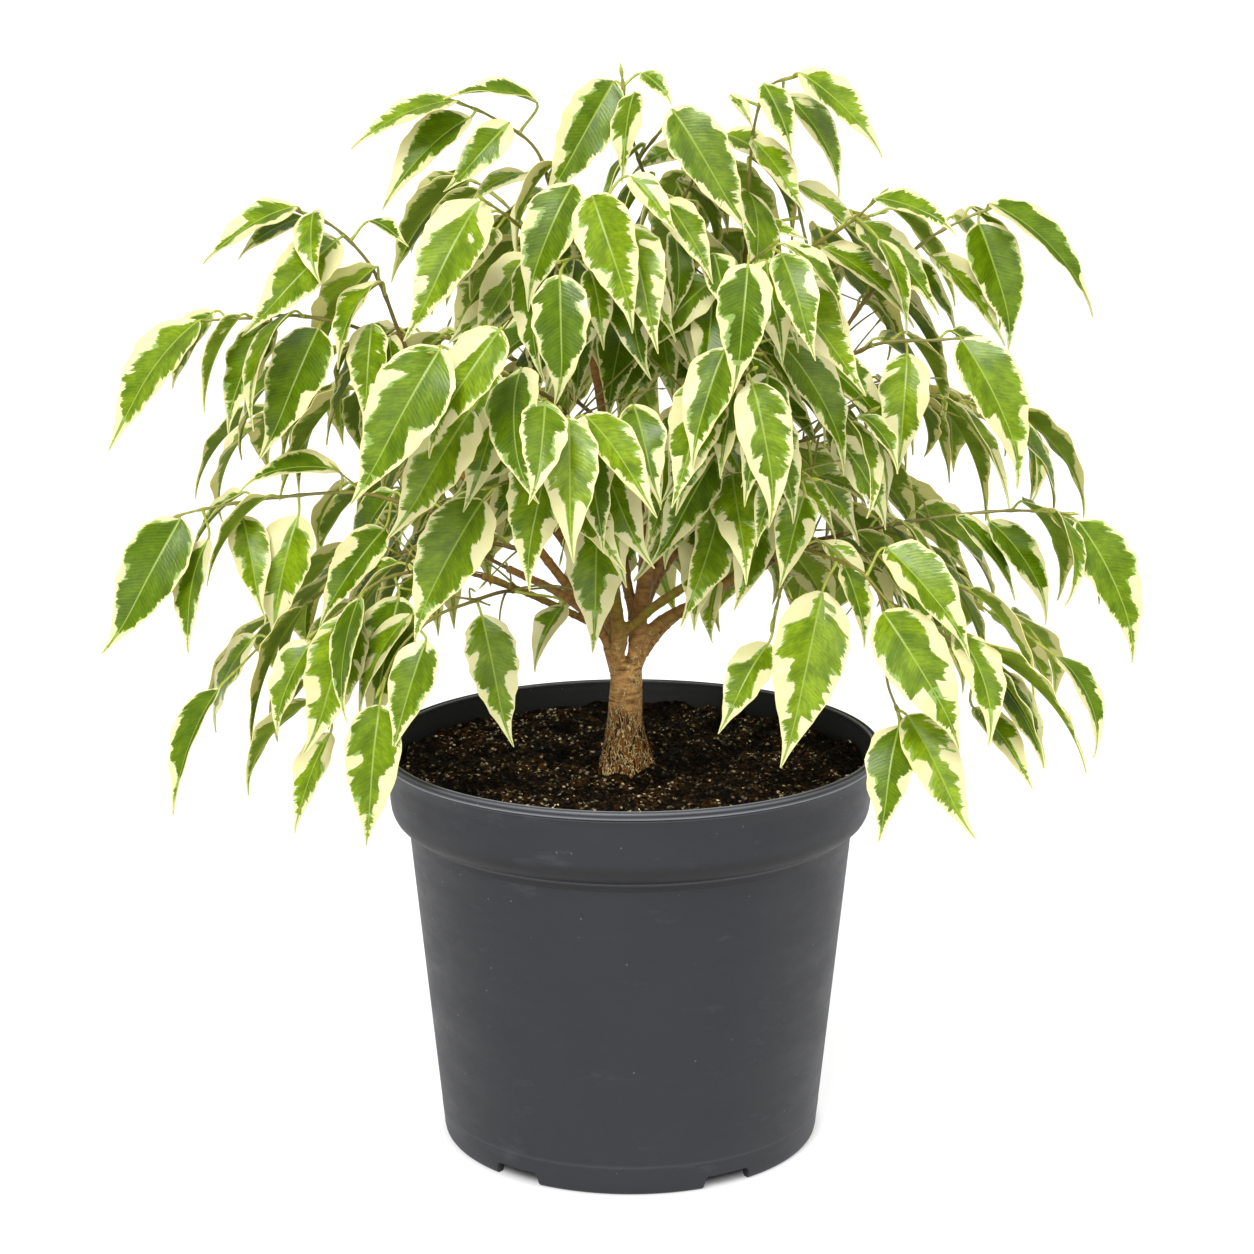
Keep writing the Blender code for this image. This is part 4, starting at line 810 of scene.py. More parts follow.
# The sprays that the front view shows, each as its twigs and its leaves. Twigs are routes of (across, up,
# behind), the first from a limb and the others from the first. Leaves are (base across, base up, tip
# across, tip up, turn), where turn is how many degrees the face is turned up and outward from the eye.
SPRAYS = {
    "spray_crown_left": (
        [[(-22, 327, 8), (-27, 352, 5), (-34, 376, 1), (-50, 388, -4), (-64, 394, -8)]],
        [(-34, 394, -68, 395, 62), (-63, 394, -101, 376, 66), (-58, 388, -90, 354, 45),
         (-44, 386, -67, 360, 10), (-38, 368, -59, 356, 50)],
    ),
    "spray_crown_mid": (
        [[(20, 328, 8), (14, 350, 5), (4, 370, 1), (-1, 388, -2), (-3, 402, -3)],
         [(4, 372, 1), (10, 382, -4), (16, 388, -8)],
         [(14, 350, 5), (22, 364, 12), (28, 376, 18)]],
        [(-6, 401, -31, 356, 5), (15, 391, 43, 343, 15), (25, 378, 0, 368, 40), (4, 404, 16, 392, 30),
         (34, 382, 56, 366, 40)],
    ),
    "spray_crown_right": (
        [[(38, 307, 14), (42, 338, 9), (43, 364, 5), (45, 386, 1), (50, 399, -2), (61, 403, -5)]],
        [(61, 404, 92, 374, 45), (48, 400, 59, 374, 30), (56, 396, 77, 360, 50),
         (44, 380, 62, 353, 45), (36, 396, 44, 384, 40)],
    ),
    "spray_right_upper": (
        [[(37, 300, 15), (48, 320, 9), (65, 340, 1), (80, 350, -5), (90, 359, -8)],
         [(65, 340, 1), (62, 352, 2), (60, 362, 2)]],
        [(89, 359, 120, 346, 55), (60, 364, 86, 340, 55), (83, 350, 113, 316, 50),
         (70, 341, 104, 311, 50), (91, 344, 101, 309, 60), (76, 334, 73, 301, 50),
         (44, 349, 64, 343, 60)],
    ),
    "spray_right_far": (
        [[(73, 302, 0), (88, 324, -2), (106, 342, -4), (121, 351, -5), (133, 356, -6)]],
        [(131, 357, 170, 315, 60), (127, 350, 142, 304, 15), (110, 338, 137, 304, 50)],
    ),
    "spray_right_mid": (
        [[(66, 297, 1), (80, 301, -6), (93, 306, -12), (113, 307, -17), (124, 308, -19)]],
        [(102, 302, 100, 257, 0), (122, 307, 147, 253, 25), (67, 301, 97, 269, 40)],
    ),
    "spray_right_inner": (
        [[(35, 267, 10), (46, 265, -8), (58, 268, -28), (72, 272, -44), (88, 280, -54)]],
        [(85, 279, 100, 257, 50), (76, 271, 96, 236, 35), (70, 256, 89, 245, 50)],
    ),
    "spray_right_low": (
        [[(70, 232, 2), (86, 235, 1), (100, 238, 0), (118, 241, -2), (142, 243, -4), (162, 242, -6)]],
        [(167, 239, 191, 185, 35), (157, 241, 177, 208, 60), (134, 239, 158, 200, 50),
         (122, 241, 145, 209, 60)],
    ),
    "spray_right_front": (
        [[(47, 235, -52), (58, 231, -60), (72, 226, -70), (86, 220, -80), (97, 208, -86)],
         [(93, 214, -84), (97, 196, -84), (97, 178, -80), (102, 164, -74)],
         [(97, 208, -86), (112, 200, -80), (124, 190, -74), (133, 181, -70)],
         [(58, 231, -60), (57, 216, -64), (54, 202, -64)]],
        [(72, 212, 59, 143, 0), (96, 229, 130, 187, 30), (95, 204, 127, 151, 10),
         (80, 222, 89, 190, 35), (52, 192, 35, 156, 20), (102, 160, 97, 113, 15),
         (105, 164, 129, 113, 20), (135, 181, 157, 143, 50), (130, 167, 152, 134, 50)],
    ),
    "spray_left_upper": (
        [[(-81, 300, -8), (-86, 312, -8), (-91, 326, -8), (-97, 337, -9), (-109, 349, -11),
          (-123, 355, -13)]],
        [(-122, 356, -156, 334, 50), (-119, 352, -144, 337, 55), (-107, 344, -142, 307, 15),
         (-95, 351, -82, 341, 50)],
    ),
    "spray_left_mid": (
        [[(-79, 292, -8), (-88, 304, -14), (-102, 312, -19), (-123, 316, -23), (-142, 315, -26),
          (-160, 314, -28)]],
        [(-159, 314, -191, 264, 50), (-132, 314, -150, 272, 35), (-115, 311, -136, 261, 10),
         (-95, 313, -98, 275, 15)],
    ),
    "spray_left_low": (
        [[(-44, 240, -8), (-60, 241, -16), (-77, 243, -21), (-92, 248, -24), (-108, 250, -26),
          (-140, 247, -28), (-162, 243, -30), (-172, 240, -30)]],
        [(-168, 240, -197, 186, 10), (-158, 232, -165, 188, 50), (-145, 241, -140, 202, 15),
         (-124, 241, -135, 192, 20), (-92, 236, -118, 198, 20), (-108, 258, -146, 252, 60)],
    ),
    "spray_left_under": (
        [[(-56, 218, -34), (-66, 220, -40), (-80, 220, -47), (-94, 216, -53), (-107, 206, -57),
          (-118, 197, -58)],
         [(-104, 209, -56), (-110, 190, -54), (-113, 172, -51), (-114, 164, -50)]],
        [(-104, 203, -121, 147, 15), (-87, 210, -98, 156, 10), (-120, 193, -135, 156, 45),
         (-114, 157, -128, 117, 45)],
    ),
    "spray_left_front": (
        [[(-40, 212, -24), (-48, 212, -42), (-60, 208, -58), (-74, 202, -70), (-87, 190, -76),
          (-94, 176, -76)]],
        [(-95, 168, -100, 112, 10), (-77, 193, -90, 149, 20), (-56, 203, -47, 151, 10),
         (-25, 207, -37, 181, 35)],
    ),
    "spray_mid_left": (
        [[(-20, 274, -60), (-28, 284, -78), (-40, 291, -99), (-52, 297, -118), (-64, 301, -132),
          (-71, 302, -140)]],
        [(-70, 304, -102, 244, 15), (-48, 311, -78, 265, 10), (-59, 281, -88, 230, 15),
         (-33, 281, -65, 246, 10)],
    ),
    "spray_mid": (
        [[(-14, 252, -42), (-17, 258, -60), (-20, 267, -84), (-24, 276, -110), (-26, 281, -126)],
         [(-17, 258, -60), (-30, 256, -78), (-44, 254, -98), (-52, 252, -108)],
         [(-20, 267, -84), (-10, 274, -98), (-2, 280, -108)]],
        [(-29, 270, -41, 213, 5), (-23, 278, -23, 223, 5), (-12, 247, -13, 188, 5),
         (-55, 247, -83, 194, 15), (1, 283, 9, 245, 15)],
    ),
    "spray_upper_left": (
        [[(-14, 300, 12), (-20, 316, -10), (-30, 336, -40), (-42, 350, -64), (-53, 358, -80)],
         [(-30, 336, -40), (-25, 350, -54), (-22, 360, -66)]],
        [(-55, 358, -81, 305, 15), (-49, 348, -69, 320, 35), (-41, 322, -68, 306, 25),
         (-21, 364, -39, 318, 20)],
    ),
    "spray_upper_mid": (
        [[(21, 304, 8), (12, 318, -16), (-2, 332, -50), (-14, 338, -78), (-25, 336, -98)],
         [(-2, 332, -50), (-8, 346, -70), (-13, 356, -84)]],
        [(-26, 331, -25, 282, 0), (-15, 333, -11, 303, 25), (-14, 360, 3, 310, 0),
         (0, 367, 16, 346, 30)],
    ),
    "spray_upper_right": (
        [[(32, 280, 16), (33, 300, -10), (36, 320, -46), (43, 334, -76), (52, 342, -96)],
         [(36, 320, -46), (26, 336, -58), (16, 350, -66)]],
        [(13, 358, 31, 328, 15), (43, 335, 39, 286, 0), (55, 339, 67, 299, 20), (30, 329, 0, 298, 15)],
    ),
    "spray_mid_right": (
        [[(16, 262, 6), (21, 272, -28), (30, 284, -64), (38, 292, -96), (45, 296, -114)]],
        [(35, 304, 22, 259, 20), (39, 291, 34, 255, 30), (45, 291, 55, 237, 10)],
    ),
    "spray_low_right": (
        [[(33, 223, -34), (37, 238, -46), (44, 250, -58), (56, 255, -68), (66, 255, -74)],
         [(37, 238, -46), (32, 252, -58), (31, 262, -64)]],
        [(51, 242, 40, 204, 10), (65, 249, 57, 213, 10), (31, 263, 10, 221, 10),
         (33, 216, 30, 192, 40)],
    ),
}

# The sprays at the back and the sides, which the front view hides in part: the limb and the share of
# its length where the spray leaves it, its heading in degrees from +X, its reach, and its first climb.
HIDDEN_SPRAYS = {
    "spray_back_left_high": ("back_left", 1.0, 156, 100, 0.75),
    "spray_back_left_mid": ("back_left", 0.84, 128, 90, 0.45),
    "spray_back_left_side": ("back_left", 0.62, 168, 104, 0.35),
    "spray_back_mid_high": ("back_mid", 1.0, 98, 66, 0.80),
    "spray_back_mid_left": ("back_mid", 0.80, 116, 78, 0.30),
    "spray_back_mid_right": ("back_mid", 0.66, 64, 88, 0.30),
    "spray_back_right_high": ("back_right", 1.0, 24, 100, 0.75),
    "spray_back_right_mid": ("back_right", 0.84, 56, 94, 0.45),
    "spray_back_right_side": ("back_right", 0.62, 12, 104, 0.35),
    "spray_back_low_left": ("back_low_left", 1.0, 138, 92, 0.35),
    "spray_back_low_right": ("back_low_right", 1.0, 44, 92, 0.35),
    "spray_back_low_mid": ("back_mid", 0.42, 92, 96, 0.15),
    "spray_crown_back_left": ("inner_left", 0.80, 132, 80, 1.50),
    "spray_crown_back_mid": ("leader", 0.88, 84, 78, 1.40),
    "spray_crown_back_right": ("inner_right", 0.84, 40, 80, 1.50),
    "spray_side_left": ("left_low", 0.42, 192, 118, 0.40),
    "spray_side_left_high": ("inner_left", 0.62, 184, 112, 0.95),
    "spray_side_right": ("right_low", 0.66, -6, 112, 0.50),
    "spray_side_right_high": ("inner_right", 0.58, -12, 106, 0.95),
    "spray_front_high": ("leader", 0.72, 290, 90, 1.00),
}
HIDDEN_DROOP = 0.75
TWIG_RADII = (1.5, 0.8)
SIDE_TWIG_RADIUS = 1.1
# No leaf grows on this many points at the foot of a twig.
BARE_POINTS = 4
PETIOLE = 9.0
PETIOLE_HALF = 0.55
PETIOLE_LIFT = 0.4
PETIOLE_DEPTH = 1.6
BLADE_THICKNESS = 1.0
LEAF_LENGTHS = (46.0, 60.0)
# How the leaves differ: the shares of width and of arch, the twist in degrees, and then how far the tips
# of the front lean forward, or the degrees by which the others spin, how steeply they hang and their tilt.
SEEN_LEAF_RANGES = ((0.94, 1.08), (0.7, 1.3), (-14, 14), (-6, -16))
OTHER_LEAF_RANGES = ((0.92, 1.08), (0.8, 1.6), (-16, 16), (-18, 18), (0.7, 1.25), (-0.5, 0.5))
LEAF_WIDTH = 0.212
LEAF_ARCH = 0.13
LEAF_FOLD = math.radians(16)
# The shares of its length where the two knots of a blade's arch stand.
ARCH_KNOTS = (0.28, 0.74)
END_LEAF_SIZE = 0.86
NODE_SPACING = 19.0
ROOT_SPACING = 7.0
# The heading of a petiole: how much it goes along its twig (more at the end), aside and up.
STALK_ALONG = 0.55
END_STALK_ALONG = 1.2
STALK_SIDE = 0.8
STALK_UP = 0.25
# How much a twig's heading counts beside its place in the crown, in millimetres, for what is outward.
HEADING_PULL = 40
HANG_OUTWARD = 0.5
HANG_SIDEWAYS = 0.4
# The turn in degrees at which a leaf that had to be turned aside would have shrunk to nothing.
TURN_TO_NOTHING = 300
# The sections of a leaf in the clearance tests, as (share of its length, share of its half width).
LEAF_STATIONS = ((0.0, 0.11), (0.20, 0.90), (0.56, 0.86), (0.86, 0.13))
# A leaf that would cross another piece is turned by these degrees, or moved back by these millimetres,
# until it hangs free.
TURNS_TO_TRY = (0, 14, -14, 28, -28, 42, -42, 60, -60)
SHIFTS_TO_TRY = (0, -4, 4, -8, 8, -12, 12, -16, 16, -22, 22, -28, 28)
CLEARANCE = 0.45
# No leaf dips into the space round the pot and its lip, or hangs in the front view's opening over it.
KEEP_CLEAR_RADIUS = 98.0
KEEP_CLEAR_HEIGHT = 157.0
OPEN_HALF_WIDTH = 97.0
OPEN_HEIGHT = 194.0
LOWEST_TIP = 111.0
HALF_WIDTH = 197.0
HALF_DEPTH = 160.0
HIGHEST_TIP = 408.0

Leaf = namedtuple("Leaf", "spray root base tip face arch width twist")
Twig = namedtuple("Twig", "spray points radii")
SEEN_SEED = 11
OTHER_SEED = 23
# The smaller leaves between those of the solids.
EXTRA_SEED = 31
EXTRA_SPACING = 9.0
EXTRA_ROOT_SPACING = 4.0
EXTRA_LENGTHS = (30.0, 50.0)
SHOOT_SEED = 7
SHOOTS_TRIED = 16
# The bare shoots end inside an egg-shaped space, given by its half axes and its middle.
INNER_CROWN = Vector((125, 105, 85))
CROWN_MIDDLE = Vector((0, 0, 262))
SHOOT_LENGTHS = (12.0, 38.0)
SHOOT_RADII = (0.85, 0.5)
SHOOT_POINTS = 7
SHOOT_SAGS = ((-5, 5), (-5, 5), (-7, 3))


def tube_faces(points, radii, sides=4):
    """Corners and faces of a plain tube, for clearance tests."""
    corners, faces = [], []
    for i, point in enumerate(points):
        along = (points[min(i + 1, len(points) - 1)] - points[max(i - 1, 0)]).normalized()
        across = along.cross(UP if abs(along.z) < 0.9 else ACROSS).normalized()
        over = across.cross(along)
        for k in range(sides):
            angle = math.tau * k / sides
            corners.append(point + radii[i] * (math.cos(angle) * across + math.sin(angle) * over))
        if i:
            faces += ring_faces((i - 1) * sides, sides)
    return corners, faces


def blade_frame(leaf, share):
    """Where the midrib is at a share of the blade's length, and its side and upward directions."""
    chord = leaf.tip - leaf.base
    length = chord.length
    lift = leaf.face * leaf.arch * length
    knots = (leaf.base, *(leaf.base + knot * chord + lift for knot in ARCH_KNOTS), leaf.tip)
    rest = 1 - share
    point = (rest ** 3 * knots[0] + 3 * rest * rest * share * knots[1]
             + 3 * rest * share * share * knots[2] + share ** 3 * knots[3])
    along = (rest * rest * (knots[1] - knots[0]) + 2 * rest * share * (knots[2] - knots[1])
             + share * share * (knots[3] - knots[2])).normalized()
    side = leaf.face.cross(chord).normalized()
    side = Matrix.Rotation(leaf.twist * share, 3, along) @ side
    return point, side, along.cross(side)


def strip(first, second):
    """Triangles between two rows of two or three corners, with the middle corners joined outward."""
    if len(first) == 2 and len(second) == 2:
        return [(first[0], first[1], second[1]), (first[0], second[1], second[0])]
    if len(first) == 2:
        return [(first[0], second[1], second[0]), (first[0], first[1], second[1]),
                (first[1], second[2], second[1])]
    if len(second) == 2:
        return [(first[1], first[0], second[0]), (first[1], second[0], second[1]),
                (first[1], second[1], first[2])]
    return [(first[1], first[0], second[0]), (first[1], second[0], second[1]),
            (first[1], second[1], second[2]), (first[1], second[2], first[2])]


def leaf_faces(leaf, swell=0.0, petiole=True):
    """Corners and triangles of one leaf, from the petiole's root to the drip tip.

    Each section has two edges and a point under the midrib, and where the blade is wide also one on
    the midrib.
    """
    length = (leaf.tip - leaf.base).length
    stalk = (leaf.base - leaf.root).normalized()
    _, side, over = blade_frame(leaf, 0.0)
    bend = (stalk + side.cross(over)).normalized()
    first_side = square_off(side, bend)
    sections = []
    if petiole:
        side = square_off(first_side, stalk)
        over = stalk.cross(side)
        half = PETIOLE_HALF + swell
        start = leaf.root.lerp(leaf.base, 0.3) if swell else leaf.root
        start = start + over * half * PETIOLE_LIFT
        sections.append(([start - side * half, start + side * half], start - over * half * PETIOLE_DEPTH))
    for share, breadth in LEAF_STATIONS:
        point, side, over = blade_frame(leaf, share)
        if share == 0:
            side, over = first_side, bend.cross(first_side)
        half = leaf.width * length * breadth + swell
        thick = BLADE_THICKNESS / 2 + swell
        out = side * half * math.cos(LEAF_FOLD)
        rise = over * half * math.sin(LEAF_FOLD)
        edges = [point - out + rise, point + out + rise]
        if breadth > 0.5:
            edges.insert(1, point + over * thick)
        sections.append((edges, point - over * thick))
    corners = []
    rows = []
    for edges, keel in sections:
        first = len(corners)
        corners += edges + [keel]
        last = len(corners) - 1
        rows.append((list(range(first, last)), [first, last, last - 1]))
    faces = [tuple(rows[0][1])]
    for (top, under), (next_top, next_under) in zip(rows, rows[1:]):
        faces += strip(top, next_top) + [face[::-1] for face in strip(under, next_under)]
    tip = len(corners)
    corners.append(leaf.tip.copy())
    top, under = rows[-1]
    faces += [(top[0], top[1], tip), (under[1], under[0], tip), (under[2], under[1], tip)]
    return corners, faces


def box_of(corners):
    """The lowest and the highest corner of the box round some points."""
    return [Vector([furthest(corner[i] for corner in corners) for i in range(3)]) for furthest in (min, max)]


class Thicket:
    """The limbs, twigs and leaves that the next leaf has to stay clear of."""

    def __init__(self):
        self.solids = []

    def add(self, corners, faces, spray, is_twig):
        tree = BVHTree.FromPolygons(corners, faces)
        self.solids.append((*box_of(corners), tree, spray, is_twig))

    def crosses(self, corners, faces, leave_out=None):
        """Whether a shape cuts anything, apart from the twigs of one spray."""
        low, high = box_of(corners)
        tree = None
        for other_low, other_high, other, spray, is_twig in self.solids:
            if is_twig and spray == leave_out:
                continue
            if any(low[i] > other_high[i] or high[i] < other_low[i] for i in range(3)):
                continue
            tree = tree or BVHTree.FromPolygons(corners, faces)
            if tree.overlap(other):
                return True
        return False


def out_of_bounds(corners):
    """Whether a leaf would dip into the pot or reach past the crown."""
    for corner in corners:
        reach = math.hypot(corner.x, corner.y)
        if corner.z < LOWEST_TIP or corner.z > HIGHEST_TIP:
            return True
        if abs(corner.x) > HALF_WIDTH or abs(corner.y) > HALF_DEPTH:
            return True
        if reach < KEEP_CLEAR_RADIUS and corner.z < KEEP_CLEAR_HEIGHT:
            return True
    return False


def hides_pot(corners):
    """Whether a shape would hang where the front view looks in at the trunk and over the soil."""
    for corner in corners:
        reach = 1 - corner.y / EYE.y
        across = EYE.x + (corner.x - EYE.x) / reach
        up = EYE.z + (corner.z - EYE.z) / reach
        if abs(across) < OPEN_HALF_WIDTH and up < OPEN_HEIGHT:
            return True
    return False


def fits(leaf, thicket):
    """Whether a leaf hangs free of everything placed so far."""
    corners, faces = leaf_faces(leaf, CLEARANCE)
    if out_of_bounds(corners) or thicket.crosses(corners, faces, leaf.spray):
        return False
    corners, faces = leaf_faces(leaf, CLEARANCE, petiole=False)
    return not thicket.crosses(corners, faces)


def lay_twigs(thicket):
    """Every limb and twig, with each twig bent clear of those before it."""
    limbs = {}
    for name, (first, last, route) in LIMBS.items():
        points = smooth([seen(*place) for place in route], FINE_STEP)
        limbs[name] = points
        thicket.add(*tube_faces(points, taper(first, last, len(points))), "trunk", True)
    routes = {name: [[seen(*place) for place in twig] for twig in seen_twigs]
              for name, (seen_twigs, _) in SPRAYS.items()}
    for name, (limb, share, heading, reach, climb) in HIDDEN_SPRAYS.items():
        start = limbs[limb][round(share * (len(limbs[limb]) - 1))]
        out = Vector((math.cos(math.radians(heading)), math.sin(math.radians(heading)), 0))
        bow = (0, 0.2, 0.4, 0.6, 0.8, 1)
        routes[name] = [[start + reach * (out * s + UP * (climb * s - HIDDEN_DROOP * s * s)) for s in bow]]
    twigs = {}
    for name, spray_routes in routes.items():
        twigs[name] = []
        for order, route in enumerate(spray_routes):
            if order:
                route = [min(twigs[name][0].points, key=lambda point: (point - route[0]).length)] + route[1:]
            for shift in SHIFTS_TO_TRY:
                bent = [point + Vector((0, shift, shift / 2)) * math.sin(math.pi * i / (len(route) - 1))
                        for i, point in enumerate(route)]
                points = smooth(bent, FINE_STEP)
                radii = taper(TWIG_RADII[0] if order == 0 else SIDE_TWIG_RADIUS, TWIG_RADII[1], len(points))
                free = min(len(points) - 2, BARE_POINTS)
                corners, faces = tube_faces(points[free:], [r + CLEARANCE for r in radii[free:]])
                if not thicket.crosses(corners, faces, name):
                    break
            twigs[name].append(Twig(name, points, radii))
            thicket.add(*tube_faces(points, radii), name, True)
    return limbs, twigs


def facing(chord, towards, turn):
    """The face of a leaf: towards something, turned up and outward by so many degrees."""
    along = chord.normalized()
    front = square_off(towards, along)
    over = along.cross(front)
    over = over if over.z > 0 else -over
    turn = math.radians(turn)
    return (front * math.cos(turn) + over * math.sin(turn)).normalized()


def hang_seen_leaves(twigs, thicket):
    """The leaves that the front view shows, each on the nearest twig of its spray."""
    draw = random.Random(SEEN_SEED)
    leaves = []
    for name, (_, seen_leaves) in SPRAYS.items():
        for base_across, base_up, tip_across, tip_up, turn in seen_leaves:
            width, arch, twist, lean = [draw.uniform(*ends) for ends in SEEN_LEAF_RANGES]
            roots = twigs[name][0].points[BARE_POINTS:-1]
            for side_twig in twigs[name][1:]:
                roots = roots + side_twig.points[1:-1]
            root = min(roots, key=lambda point: (seen(base_across, base_up, point.y) - point).length)
            for shift in SHIFTS_TO_TRY:
                base = seen(base_across, base_up, root.y + shift)
                tip = seen(tip_across, tip_up, root.y + shift + lean)
                face = facing(tip - base, EYE - base, turn)
                leaf = Leaf(name, root, base, tip, face, LEAF_ARCH * arch, LEAF_WIDTH * width,
                            math.radians(twist))
                if fits(leaf, thicket):
                    leaves.append(leaf)
                    thicket.add(*leaf_faces(leaf), name, False)
                    break
    return leaves


def hang_other_leaves(twigs, thicket, leaves, seed, spacing, root_spacing, lengths):
    """Leaves in the free places along every twig, on alternate sides, hanging outward."""
    draw = random.Random(seed)
    for name, spray_twigs in twigs.items():
        roots = [leaf.root for leaf in leaves if leaf.spray == name]
        for twig in spray_twigs:
            side_sign = draw.choice((-1, 1))
            last = len(twig.points) - 2
            count = int(last * FINE_STEP / spacing)
            for place in range(count):
                at = last - round(place * spacing / FINE_STEP)
                side_sign = -side_sign
                root = twig.points[at]
                size = draw.uniform(*lengths) * (1 if place else END_LEAF_SIZE)
                width, arch, twist, spin, dip, tilt = [draw.uniform(*ends) for ends in OTHER_LEAF_RANGES]
                if any((root - other).length < root_spacing for other in roots):
                    continue
                along = (twig.points[at + 1] - twig.points[at - 1]).normalized()
                out = Vector((root.x, root.y, 0)) + HEADING_PULL * Vector((along.x, along.y, 0))
                out = out.normalized()
                side = along.cross(UP)
                side = (side.normalized() if side.length > 0.2 else out.cross(UP)) * side_sign
                lead = STALK_ALONG if place else END_STALK_ALONG
                base = root + (lead * along + STALK_SIDE * side + STALK_UP * UP).normalized() * PETIOLE
                for turn in TURNS_TO_TRY:
                    swing = Matrix.Rotation(math.radians(spin + turn), 3, UP)
                    hang = swing @ (HANG_OUTWARD * out + HANG_SIDEWAYS * side) - dip * UP
                    tip = base + hang.normalized() * size * (1 - abs(turn) / TURN_TO_NOTHING)
                    face = facing(tip - base, swing @ out + tilt * side + 0.5 * UP, 0)
                    leaf = Leaf(name, root, base, tip, face, LEAF_ARCH * arch, LEAF_WIDTH * width,
                                math.radians(twist))
                    if not hides_pot(leaf_faces(leaf)[0]) and fits(leaf, thicket):
                        leaves.append(leaf)
                        roots.append(root)
                        thicket.add(*leaf_faces(leaf), name, False)
                        break
    return leaves


def inside_crown(point):
    """Whether a point lies so deep in the crown that leaves surround it."""
    off = point - CROWN_MIDDLE
    return sum((off[i] / INNER_CROWN[i]) ** 2 for i in range(3)) < 1


def bare_shoots(twigs, thicket, draw):
    """Thin shoots that have not leafed out, where they leave the twigs clear of every leaf."""
    shoots = []
    for name, spray_twigs in twigs.items():
        for _ in range(SHOOTS_TRIED):
            twig = draw.choice(spray_twigs)
            at = draw.randrange(1, len(twig.points) - 1)
            along = (twig.points[at + 1] - twig.points[at - 1]).normalized()
            out = Vector([draw.gauss(0, 1) for _ in range(3)]).normalized()
            heading = (0.7 * along + out + 0.2 * UP).normalized() * draw.uniform(*SHOOT_LENGTHS)
            sag = Vector([draw.uniform(*ends) for ends in SHOOT_SAGS])
            shares = [i / (SHOOT_POINTS - 1) for i in range(SHOOT_POINTS)]
            points = [twig.points[at] + heading * s + sag * s * s for s in shares]
            corners, faces = tube_faces(points[1:], [SHOOT_RADII[0] + CLEARANCE] * (SHOOT_POINTS - 1))
            open_place = out_of_bounds(corners) or hides_pot(corners) or not inside_crown(points[-1])
            if not open_place and not thicket.crosses(corners, faces, name):
                shoots.append(Twig(name, points, taper(*SHOOT_RADII, SHOOT_POINTS)))
                thicket.add(corners, faces, name, True)
    return shoots


BLADE_SEED = 41
BLADE_STATIONS = 24
# The places of the corners across a blade, as shares of its half width.
BLADE_COLUMNS = (-1.0, -0.93, -0.79, -0.56, -0.3, -0.07, 0.0, 0.07, 0.3, 0.56, 0.79, 0.93, 1.0)
# The outline is fullest towards the base: the powers of its two ends, and their product at its widest.
BASE_POWER = 0.65
TIP_POWER = 1.25
OUTLINE_PEAK = 0.295
DRIP_START = 0.9
DRIP_LENGTH = 0.16
DRIP_WIDTH = 0.14
BLADE_EDGE = 0.36
BLADE_SHARP = 50
# The rim's width in the bake map, as a share of the blade's.
RIM_IN_MAP = 0.015
MIDRIB_RIDGE = 0.5
MIDRIB_GROOVE = 0.16
# How far the side veins run towards the tip on their way out, and how they bend.
VEIN_LEAN = 0.5
VEIN_BEND = 0.012
# How the blades differ: the hooks of their tips, their waves and lobes, how they fold and how they cup.
TIP_HOOKS = (0.015, 0.075)
WAVE_HEIGHTS = (0.2, 0.75)
WAVE_LENGTHS = (11, 18)
LOBE_DEPTHS = (0.02, 0.06)
LOBE_LENGTHS = (6.5, 11)
FOLD_SHARES = (0.6, 1.6)
CUPS = (-0.5, 0.9)
STALK_SIDES = 7
PETIOLE_RADII = (0.76, 0.6, 0.53, 0.5, 0.5, 0.52, 0.5, 0.34)
TWIG_SIDES = 7
TWIG_SLIMNESS = 0.55
JOINT_REACH = 1.6
JOINT_SWELL = 0.26
# The share of a cell that the bake map leaves free round each blade, and the share of the map's height
# that the blades take.
CELL_EDGE = 0.03
BLADES_IN_MAP = 0.88
BUD_RADII = (0.62, 0.78, 0.66, 0.4, 0.1)
BUD_STEP = 1.15
CREAM = "#fcf8da"
CREAM_DEEP = "#e7e8a0"
RIM = "#f7f4b2"
SAGE = "#93b074"
LIME = "#a9c94f"
GREEN_DEEP = "#4e6e04"
GREEN_MID = "#7a9f0a"
GREEN_LIT = "#a2bf1e"
MIDRIB = "#b2c95a"
UNDERSIDE = "#a6b650"
PETIOLE_GREEN = "#a4ad40"
TWIG_GREEN = "#77732a"
TWIG_BROWN = "#5e401c"


def outline(share):
    """A blade's half width as a share of the most: rounded at the base, wedge-shaped into a drip tip."""
    along = min(share / DRIP_START, 1)
    body = along ** BASE_POWER * (1 - along) ** TIP_POWER / OUTLINE_PEAK
    drip = DRIP_WIDTH * min(1, (1.02 - share) / DRIP_LENGTH)
    return math.hypot(body, drip)


